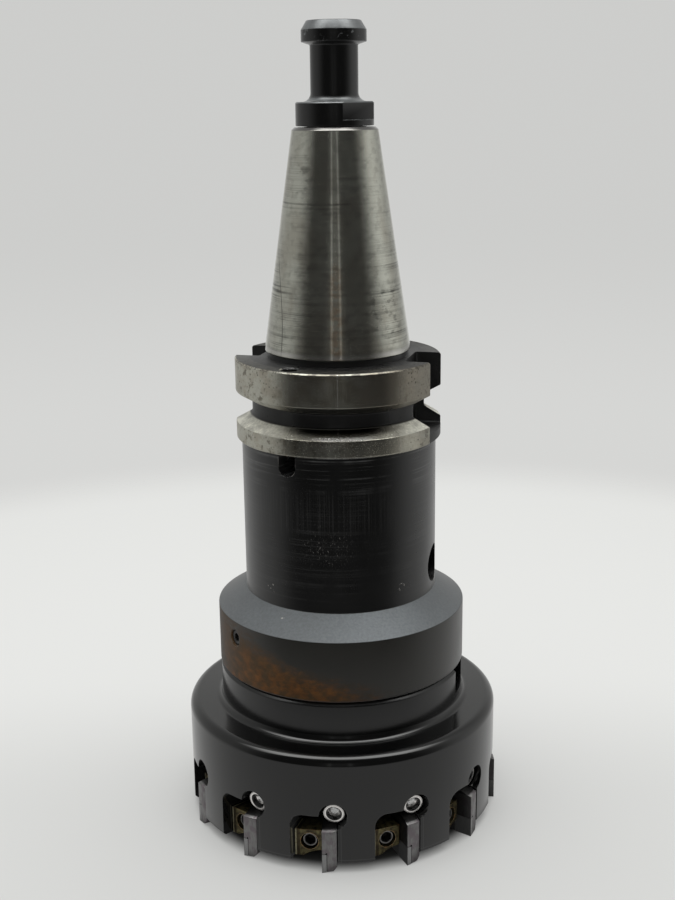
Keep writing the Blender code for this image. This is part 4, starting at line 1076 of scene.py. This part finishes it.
def shank_finish():
    """Black oxide on the shank, blue-grey with painted light on the cone, and rust on the big
    flange's left.
    """
    f = Finish("black_shank")
    low, cone, big = FLANGE_LOW_Z / MM, CONE_HIGH_Z / MM, CONE_LOW_Z / MM
    cloud = f.noise(7.0, detail=4.0)
    grain = f.noise(0.45, detail=3.0, roughness=0.65)
    lathe = f.rings(0.35, detail=2.0)
    near_top = f.z.step(low - 13.0, low - 4.0)
    streak_zone = f.z.band(low - 20.0, low - 14.0, 6.0) * f.angle.band(-75.0, 20.0, 25.0)
    streaks = f.streaks(0.7, 60.0).step(0.45, 0.75) * streak_zone
    nick_noise = f.noise(1.5, (1.0, 1.0, 1.4), detail=5.0, roughness=0.7, shift=60.0)
    nick_zone = f.most(f.z.near(cone + 6.0, 9.0) * f.most(f.angle.near(-45.0, 14.0),
                                                          f.angle.near(38.0, 12.0)),
                       f.z.near(cone - 2.0, 3.0) * f.angle.near(-33.0, 12.0))
    nicks = (nick_noise * nick_zone).step(0.56, 0.59)
    scuff = f.noise(0.45, (1.0, 1.0, 0.5), detail=4.0, roughness=0.7, shift=44.0)
    scuff = scuff.step(0.60, 0.68) * f.z.near(low - 27.0, 8.0) * f.angle.near(-8.0, 22.0)
    black = f.dim(grey(0.0015), 0.7 + 0.6 * cloud)
    turned_lines = f.rings(0.5, 17.0, 4.0).step(0.50, 0.66)
    turned_lines = turned_lines * f.noise(9.0, (1.0, 1.0, 0.5), detail=3.0,
                                          shift=31.0).step(0.34, 0.62)
    black = f.mix(black, grey(0.075), turned_lines * (0.15 + 0.85 * near_top) * 0.8)
    black = f.mix(black, grey(0.05), streaks * 0.2)
    # The cone's blue-grey is partly its own tint and partly painted light from the overhead lamp it
    # faces; sheen is a painted highlight to the right of the front.
    sheen = 1.0 + 0.5 * f.angle.near(17.0, 40.0)
    fleck = f.noise(0.8, detail=5.0, roughness=0.7, shift=52.0)
    blue = f.dim((0.105, 0.115, 0.122), sheen * (0.72 + 0.3 * cloud + 0.9 * (fleck - 0.5)))
    shank, flange = SHANK_RADIUS / MM, BIG_RADIUS / MM
    on_cone = f.z.band(big + 0.1, cone - 0.1, 0.15) * f.radius.step(shank - 0.1, shank + 0.2)
    colour = f.mix(black, blue, on_cone)
    on_big = f.z.step(big + 0.05, big - 0.2) * f.radius.step(flange - 1.0, flange - 0.6)
    colour = f.mix(colour, f.dim((0.0075, 0.0068, 0.0045), 0.7 + 0.6 * cloud), on_big)
    sinking = f.z.step(big - 1.0, SEAT_Z / MM + 1.0)
    left = (f.angle - 62.0 * sinking).step(-26.0, -84.0) * f.angle.step(-135.0, -105.0)
    mottle = f.noise(3.2, (0.7, 0.7, 1.6), detail=7.0, roughness=0.7, shift=15.0)
    rust = (left * 0.9 + 1.1 * (mottle - 0.5)).step(0.02, 0.85) * on_big * left.step(0.0, 0.3)
    flecks = f.noise(2.8, (0.9, 0.9, 1.2), detail=6.0, roughness=0.6, shift=33.0)
    rust_colour = f.mix((0.056, 0.035, 0.018), (0.125, 0.052, 0.016),
                        flecks.step(0.36, 0.72) * (0.35 + 0.65 * sinking))
    shaded = 0.35 * sinking * f.angle.step(-50.0, -20.0)
    rust_colour = f.dim(rust_colour, 0.60 + 0.9 * mottle - shaded)
    colour = f.mix(colour, rust_colour, rust * 0.95)
    # Painted sheen: paler where the surface turns away from the eye.
    colour = f.grazing_sheen(colour)
    edge = f.wear(0.4) * f.noise(1.4, detail=3.0, shift=8.0).step(0.45, 0.62)
    steel = grey(0.42, 0.05)
    bare = f.most(edge * 0.5, nicks * 0.8, scuff * 0.45)
    colour = f.mix(colour, steel, bare)
    roughness = 0.24 + 0.10 * cloud + 0.26 * on_cone + 0.08 * on_big + 0.35 * rust
    normal = f.bump(lathe * (0.3 + near_top) * (1.0 - on_cone) + grain * (on_cone + rust) * 0.8
                    - nicks, 0.012, 0.1)
    return f.surface(colour, roughness, bare * 0.8, normal,
                     **{"Specular IOR Level": 0.5 - 0.42 * rust})


def cutter_finish():
    """Glossy black body with a painted sheen where it turns away, a little greyer at its edges and
    beside the slots.
    """
    f = Finish("black_cutter")
    cloud = f.noise(11.0, detail=4.0)
    grain = f.noise(0.5, detail=3.0, roughness=0.6)
    lathe = f.rings(0.5, detail=2.0)
    hub = f.z.step(CUTTER_TOP_Z / MM + 1.0, CUTTER_TOP_Z / MM + 3.0)
    black = f.dim(grey(0.002), 0.75 + 0.5 * cloud)
    black = f.mix(black, f.dim(grey(0.003), 0.7 + 0.6 * cloud), hub)
    edge = f.wear(0.3) * (0.35 + f.noise(2.0, detail=3.0).step(0.42, 0.62))
    top = f.z.near(CUTTER_TOP_Z / MM, 0.5) * f.radius.step(47.5, 46.5)
    # Painted sheen where the body turns away from the eye, less on the hub and the flat top.
    colour = f.grazing_sheen(black, 0.85 * (1.0 - f.most(top, hub)))
    colour = f.mix(colour, grey(0.10), edge * 0.5)
    _, side = f.pocket()
    out = f.radius
    from_wall = side * math.cos(SLOT_LEFT_ANGLE) - out * math.sin(SLOT_LEFT_ANGLE)
    beside_slots = f.most(side.near(3.5, 0.2), from_wall.near(-1.0, 0.2))
    lines = f.most(beside_slots * f.z.step(17.5, 16.5), f.z.near(CUTTER_BOTTOM_Z / MM + 1.5, 0.2))
    colour = f.mix(colour, grey(0.045), lines * out.step(48.6, 48.9) * 0.5)
    roughness = 0.07 + 0.05 * cloud + 0.1 * hub + 0.07 * top
    normal = f.bump(grain * 0.35 + lathe * 0.3, 0.003, 0.12)
    return f.surface(colour, roughness, 0.0, normal)


def knob_finish():
    """Black oxide worn to bluish steel on the head's cone, the foot and the edges."""
    f = Finish("black_knob")
    top = KNOB_HIGH.z / MM
    cloud = f.noise(2.2, detail=4.0, roughness=0.6)
    fine = f.rings(0.2, detail=2.0)
    crown = f.z.step(top - 2.7, top - 2.4) * f.z.step(top - 0.02, top - 0.2)
    foot = f.z.band(top - 22.6, top - 20.6, 0.4) * f.radius.step(7.1, 7.9)
    head_side = f.z.band(top - 5.9, top - 2.7, 0.2) * f.radius.step(9.0, 9.3)
    rubbed = f.most(crown * (0.45 + 0.35 * cloud), foot * 0.75,
                    head_side * cloud.step(0.58, 0.70) * 0.4)
    edge = f.wear(0.3) * f.noise(1.2, detail=3.0, shift=4.0).step(0.40, 0.55)
    black = f.dim(grey(0.002), 0.7 + 0.7 * cloud)
    steel = f.dim((0.25, 0.262, 0.268), 0.8 + 0.3 * cloud + 0.3 * (fine - 0.5))
    colour = f.mix(black, steel, f.most(rubbed, edge))
    metal = f.most(rubbed, edge) * 0.9
    roughness = 0.17 + 0.10 * cloud + 0.16 * rubbed
    normal = f.bump(fine * 0.5 + cloud * 0.2, 0.004, 0.12)
    return f.surface(colour, roughness, metal, normal)


def carbide_finish():
    """Grey ground carbide with fine lines down the blade and worn edges; painted shade on its
    cutting face and top.
    """
    f = Finish("ground_carbide")
    lines = f.noise(0.16, (1.0, 1.0, 0.05), detail=2.0)
    cloud = f.noise(1.6, (1.0, 1.0, 0.6), detail=4.0)
    edge = f.wear(0.2)
    colour = f.mix(grey(0.24, 0.01), (0.185, 0.165, 0.175), cloud.step(0.42, 0.62))
    colour = f.dim(colour, 0.70 + 0.6 * (lines - 0.5).abs() * 2.0 + 0.3 * (cloud - 0.5))
    colour = f.mix(colour, grey(0.40), edge * 0.6)
    out, side = f.pocket()
    back = (TIP_WIDTH - BLADE_THICKNESS / 2) / MM
    seam = f.most(side.near(back + 0.12, 0.2) * f.z.step(6.3, 6.1),
                  f.z.near(TIP_HEIGHT / MM + 0.12, 0.2) * side.step(back + 0.3, back + 0.2))
    colour = f.mix(colour, grey(0.012), seam * out.step(43.0, 43.5) * 0.85)
    # Painted shade: the cutting face, on the wedge's side, is darkened, less at its worn edges.
    cutting_face = side.step(-2.1, -2.2)
    top = BLADE_TOP_OUTER_Z / MM
    colour = f.dim(colour, 1.0 - 0.68 * cutting_face * (1.15 - edge))
    # Painted shadow: the blade's top is darkened almost to black.
    colour = f.mix(colour, grey(0.010), f.z.step(top + 0.2, top + 0.4) * 0.92)
    roughness = 0.34 + 0.16 * cloud
    normal = f.bump(lines, 0.012, 0.08)
    return f.surface(colour, roughness, 0.85, normal)


def diamond_finish():
    """The sintered diamond layer: darker, finer and flatter than the carbide behind it."""
    f = Finish("sintered_diamond")
    grain = f.noise(0.12, detail=3.0)
    lines = f.noise(0.3, (1.0, 1.0, 0.08), detail=2.0)
    edge = f.wear(0.15)
    colour = f.dim(grey(0.20), 0.6 + 0.5 * grain + 0.5 * lines)
    colour = f.mix(colour, grey(0.45), edge * 0.5)
    _, side = f.pocket()
    # Painted shade on the cutting face.
    colour = f.dim(colour, 1.0 - 0.6 * side.step(-2.1, -2.2))
    normal = f.bump(grain * 0.5 + lines, 0.006, 0.05)
    return f.surface(colour, 0.36 + 0.15 * grain, 0.7, normal)


def brass_finish():
    """Olive-brown wedge metal, gold and orange where its edges have rubbed."""
    f = Finish("wedge_brass")
    cloud = f.noise(1.5, detail=4.0, roughness=0.6)
    specks = f.noise(0.5, detail=3.0, shift=5.0)
    from_screw, _ = f.about("wedge_screw_01_turn")
    out, side = f.pocket()
    from_wall = side * math.cos(SLOT_LEFT_ANGLE) - out * math.sin(SLOT_LEFT_ANGLE)
    # A bright speckled strip along the wedge's edge by the slot wall: a painted highlight.
    strip = from_wall.band(0.3, 0.75, 0.12) * specks.step(0.30, 0.44)
    # Painted shade round the screw hole, and a darker band beside the bright strip.
    darker_by_screw_and_wall = f.most(from_screw.step(4.2, 3.0) * 0.8, from_wall.band(0.95, 1.7, 0.3))
    edge = f.wear(0.45)
    colour = f.mix((0.045, 0.037, 0.021), (0.19, 0.165, 0.080), cloud.step(0.36, 0.60))
    colour = f.mix(colour, (0.030, 0.020, 0.012), darker_by_screw_and_wall * 0.75)
    gold = f.mix((0.62, 0.52, 0.30), (0.55, 0.25, 0.10), specks.step(0.50, 0.62))
    colour = f.mix(colour, gold, edge * specks.step(0.36, 0.52) * 0.9)
    colour = f.mix(colour, (0.62, 0.58, 0.40), strip * 0.8)
    roughness = 0.38 + 0.2 * cloud
    normal = f.bump(cloud * 0.5 + specks * 0.5, 0.03, 0.12)
    return f.surface(colour, roughness, 0.8, normal)


def bright_screw_finish():
    """Bright turned steel round a socket painted dark as shade, with a drill point painted bright as
    a highlight.
    """
    f = Finish("bright_screw")
    cloud = f.noise(0.8, detail=3.0)
    across, height = f.about("adjusting_screw_01_turn")
    edge = f.wear(0.15)
    colour = f.dim(grey(0.80, 0.03), 0.8 + 0.4 * cloud)
    colour = f.mix(colour, grey(0.28), edge * 0.3)
    mouth = ADJUSTER_MOUTH / MM
    # Painted shade inside the socket.
    inside = across.step(mouth + 0.02, mouth - 0.08) * height.step(-4.6, -4.4)
    point = height.step(0.05 - ADJUSTER_SOCKET_DEPTH / MM, -ADJUSTER_SOCKET_DEPTH / MM)
    # A dark ring standing for the shade in a groove round the socket: painted shade.
    groove = across.near(2.88, 0.10) * height.step(-0.1, -0.05)
    dark = f.most(inside * (1.0 - point), groove * 0.7)
    colour = f.mix(colour, grey(0.012), dark)
    # Painted highlight: the drill point is painted nearly white.
    point = point * across.step(1.5, 1.1)
    colour = f.mix(colour, grey(0.95), point)
    normal = f.bump(f.noise(0.15, detail=2.0), 0.006, 0.06)
    roughness = 0.20 + 0.16 * cloud + 0.1 * dark
    return f.surface(colour, roughness, 1.0 - f.most(0.7 * dark, 0.75 * point), normal)


def dark_screw_finish():
    """Black oxide, rubbed at the edges."""
    f = Finish("black_screw")
    cloud = f.noise(0.7, detail=3.0)
    edge = f.wear(0.22) * cloud.step(0.32, 0.55)
    colour = f.mix(f.dim(grey(0.012), 0.6 + 0.8 * cloud), grey(0.34, 0.05), edge)
    normal = f.bump(cloud, 0.008, 0.08)
    return f.surface(colour, 0.34 + 0.15 * cloud, 0.2 + 0.7 * edge, normal)


def wedge_screw_finish():
    """Black screw with a rubbed grey ring round a black socket."""
    f = Finish("wedge_screw_black")
    cloud = f.noise(0.7, detail=3.0)
    across, height = f.about("wedge_screw_01_turn")
    socket = WEDGE_SCREW_SOCKET / MM / math.sqrt(3.0)
    ring = across.band(socket + 0.12, socket + 0.42, 0.1) * height.step(-0.4, -0.2)
    ring = ring * cloud.step(0.25, 0.5)
    colour = f.mix(f.dim(grey(0.008), 0.6 + 0.8 * cloud), grey(0.30, 0.04), ring * 0.7)
    normal = f.bump(cloud, 0.008, 0.08)
    return f.surface(colour, 0.3 + 0.15 * cloud, 0.8 * ring, normal)


# ---------------------------------------------------------------- stage
def make_world():
    """A white tent open at the front as metal mirrors it, and a plain pale backdrop to the eye."""
    world = bpy.data.worlds.new("studio")
    world.use_nodes = True
    bpy.context.scene.world = world
    # Lamps sampled from a world are seen as if by the eye, so only real rays may read this one.
    world.cycles.sampling_method = "NONE"
    n = Nodes(world.node_tree)
    direction = n.add("TexCoord", output="Generated")
    x, y, z = n.split(direction)
    azimuth = x.math("ARCTAN2", y * -1.0) * math.degrees(1.0)
    elevation = z.math("ARCSINE") * math.degrees(1.0)
    aside = azimuth.abs()
    opening = aside.step(92.0, 46.0)
    right_panel = azimuth.near(100.0, 35.0) * 0.25
    back_panel = aside.step(140.0, 180.0) * 0.24
    camera_glow = azimuth.near(-3.0, 22.0) * 0.09
    slits = (azimuth.near(-9.5, 2.2) + azimuth.near(5.0, 2.2)) * 0.30
    tent = n.blend(0.48, 0.06, opening) + right_panel + back_panel + camera_glow + slits
    beyond = n.most(elevation.step(-4.0, -14.0), elevation.step(22.0, 34.0))
    tent = n.blend(tent, 0.06, aside.step(60.0, 30.0) * beyond)
    tent = n.blend(tent, 1.1, elevation.step(56.0, 76.0))
    tilt = z.math("ARCTAN2", y * -1.0) * math.degrees(1.0)
    softbox = tilt.band(76.0, 98.0, 6.0) * x.abs().step(0.80, 0.40)
    tent = n.blend(tent, 5.0, softbox)
    tent = n.blend(tent, 0.62, elevation.step(-17.0, -30.0))
    backdrop = n.blend(0.67, 0.61, elevation.step(-14.0, -5.0))
    level = n.blend(0.80, tent, n.ray("Glossy"))
    level = n.blend(level, backdrop, n.ray("Camera"))
    background = n.add("Background", {"Color": n.dim((1.0, 1.004, 0.985), level)})
    n.add("OutputWorld", {"Surface": background})


def make_floor():
    """A pale round floor that fades out into the backdrop, and can't be seen from below.

    It is painted dark under the tool as a shadow, and metal mirrors it as it would look in the
    tent's light.
    """
    floor_radius, drop = 0.75, 0.05 * MM
    bm = bmesh.new()
    bmesh.ops.create_circle(bm, cap_ends=True, segments=128, radius=floor_radius)
    floor = object_from("floor", bm)
    floor.location.z = -drop
    f = Finish("pale_floor")
    shade = f.blend(0.62, 0.70, f.y.step(-15.0, 90.0))
    white = (1.0, 1.005, 0.99)
    # Painted shadow: under the tool the floor is painted dark and doesn't glow.
    clear_of_tool = f.radius.step(43.0, 50.5)
    lit = f.add("BsdfDiffuse", {"Color": f.dim(white, shade * (0.12 + 0.50 * clear_of_tool))})
    glow = f.add("Emission", {"Color": f.dim(white, shade * 0.40 * clear_of_tool)})
    matt = f.add("AddShader", {0: lit, 1: glow})
    far = f.radius.step(340.0, 430.0)
    below = f.add("NewGeometry", output="Backfacing")
    open_front = f.radius.step(140.0, 250.0) * f.angle.abs().step(80.0, 50.0)
    # Metal sees the floor painted dark under the tool as well: a painted shadow in its reflections.
    mirrored = f.blend(0.08, f.blend(0.62, 0.07, open_front), f.radius.step(49.0, 53.0))
    seen_in_metal = f.add("Emission", {"Color": f.dim((1.0, 1.0, 0.985), mirrored)})
    shader = f.add("MixShader", {0: f.ray("Glossy"), 1: matt, 2: seen_in_metal})
    clear = f.add("BsdfTransparent")
    shader = f.add("MixShader", {0: f.most(far, below), 1: shader, 2: clear})
    f.add("OutputMaterial", {"Surface": shader})
    floor.data.materials.append(f.material)


def make_top_light():
    """A weak lamp over the tool, which metal doesn't mirror."""
    light = bpy.data.lights.new("top_light", "AREA")
    light.shape = "RECTANGLE"
    light.size, light.size_y = 0.7, 0.5
    light.energy = 3.0
    lamp = in_scene("top_light", light)
    place, target = Vector((0.0, 0.05, 0.75)), Vector((0.0, 0.0, 0.1))
    lamp.location = place
    lamp.rotation_euler = (target - place).to_track_quat("-Z", "Y").to_euler()
    lamp.visible_glossy = False
    lamp.visible_camera = False


def make_camera():
    """Eye level just above the knob, looking a little down at the tool's front."""
    data = bpy.data.cameras.new("camera")
    data.lens = 52.3
    data.sensor_width = 36.0
    data.clip_start, data.clip_end = 0.01, 20.0
    camera = in_scene("camera", data)
    eye = (0.0, -0.3938, 0.2237)
    down, yaw, roll = 15.1, 0.07, -0.76
    turn = (Matrix.Rotation(math.radians(yaw), 4, "Z")
            @ Matrix.Rotation(math.radians(90.0 - down), 4, "X")
            @ Matrix.Rotation(math.radians(roll), 4, "Z"))
    camera.matrix_world = Matrix.Translation(eye) @ turn
    bpy.context.scene.camera = camera


def main():
    black_screw = dark_screw_finish()
    make_taper(taper_finish())
    make_flange(flange_finish())
    make_shank(shank_finish())
    make_knob(knob_finish())
    make_cutter_body(cutter_finish())
    make_pockets({
        "carbide": carbide_finish(),
        "diamond": diamond_finish(),
        "brass": brass_finish(),
        "bright_screw": bright_screw_finish(),
        "wedge_screw": wedge_screw_finish(),
    })
    make_lock_screw(black_screw)
    make_drive_keys(black_screw)
    make_set_screws(black_screw)
    make_world()
    make_floor()
    make_top_light()
    make_camera()
    bpy.context.scene.view_settings.view_transform = "Standard"


main()
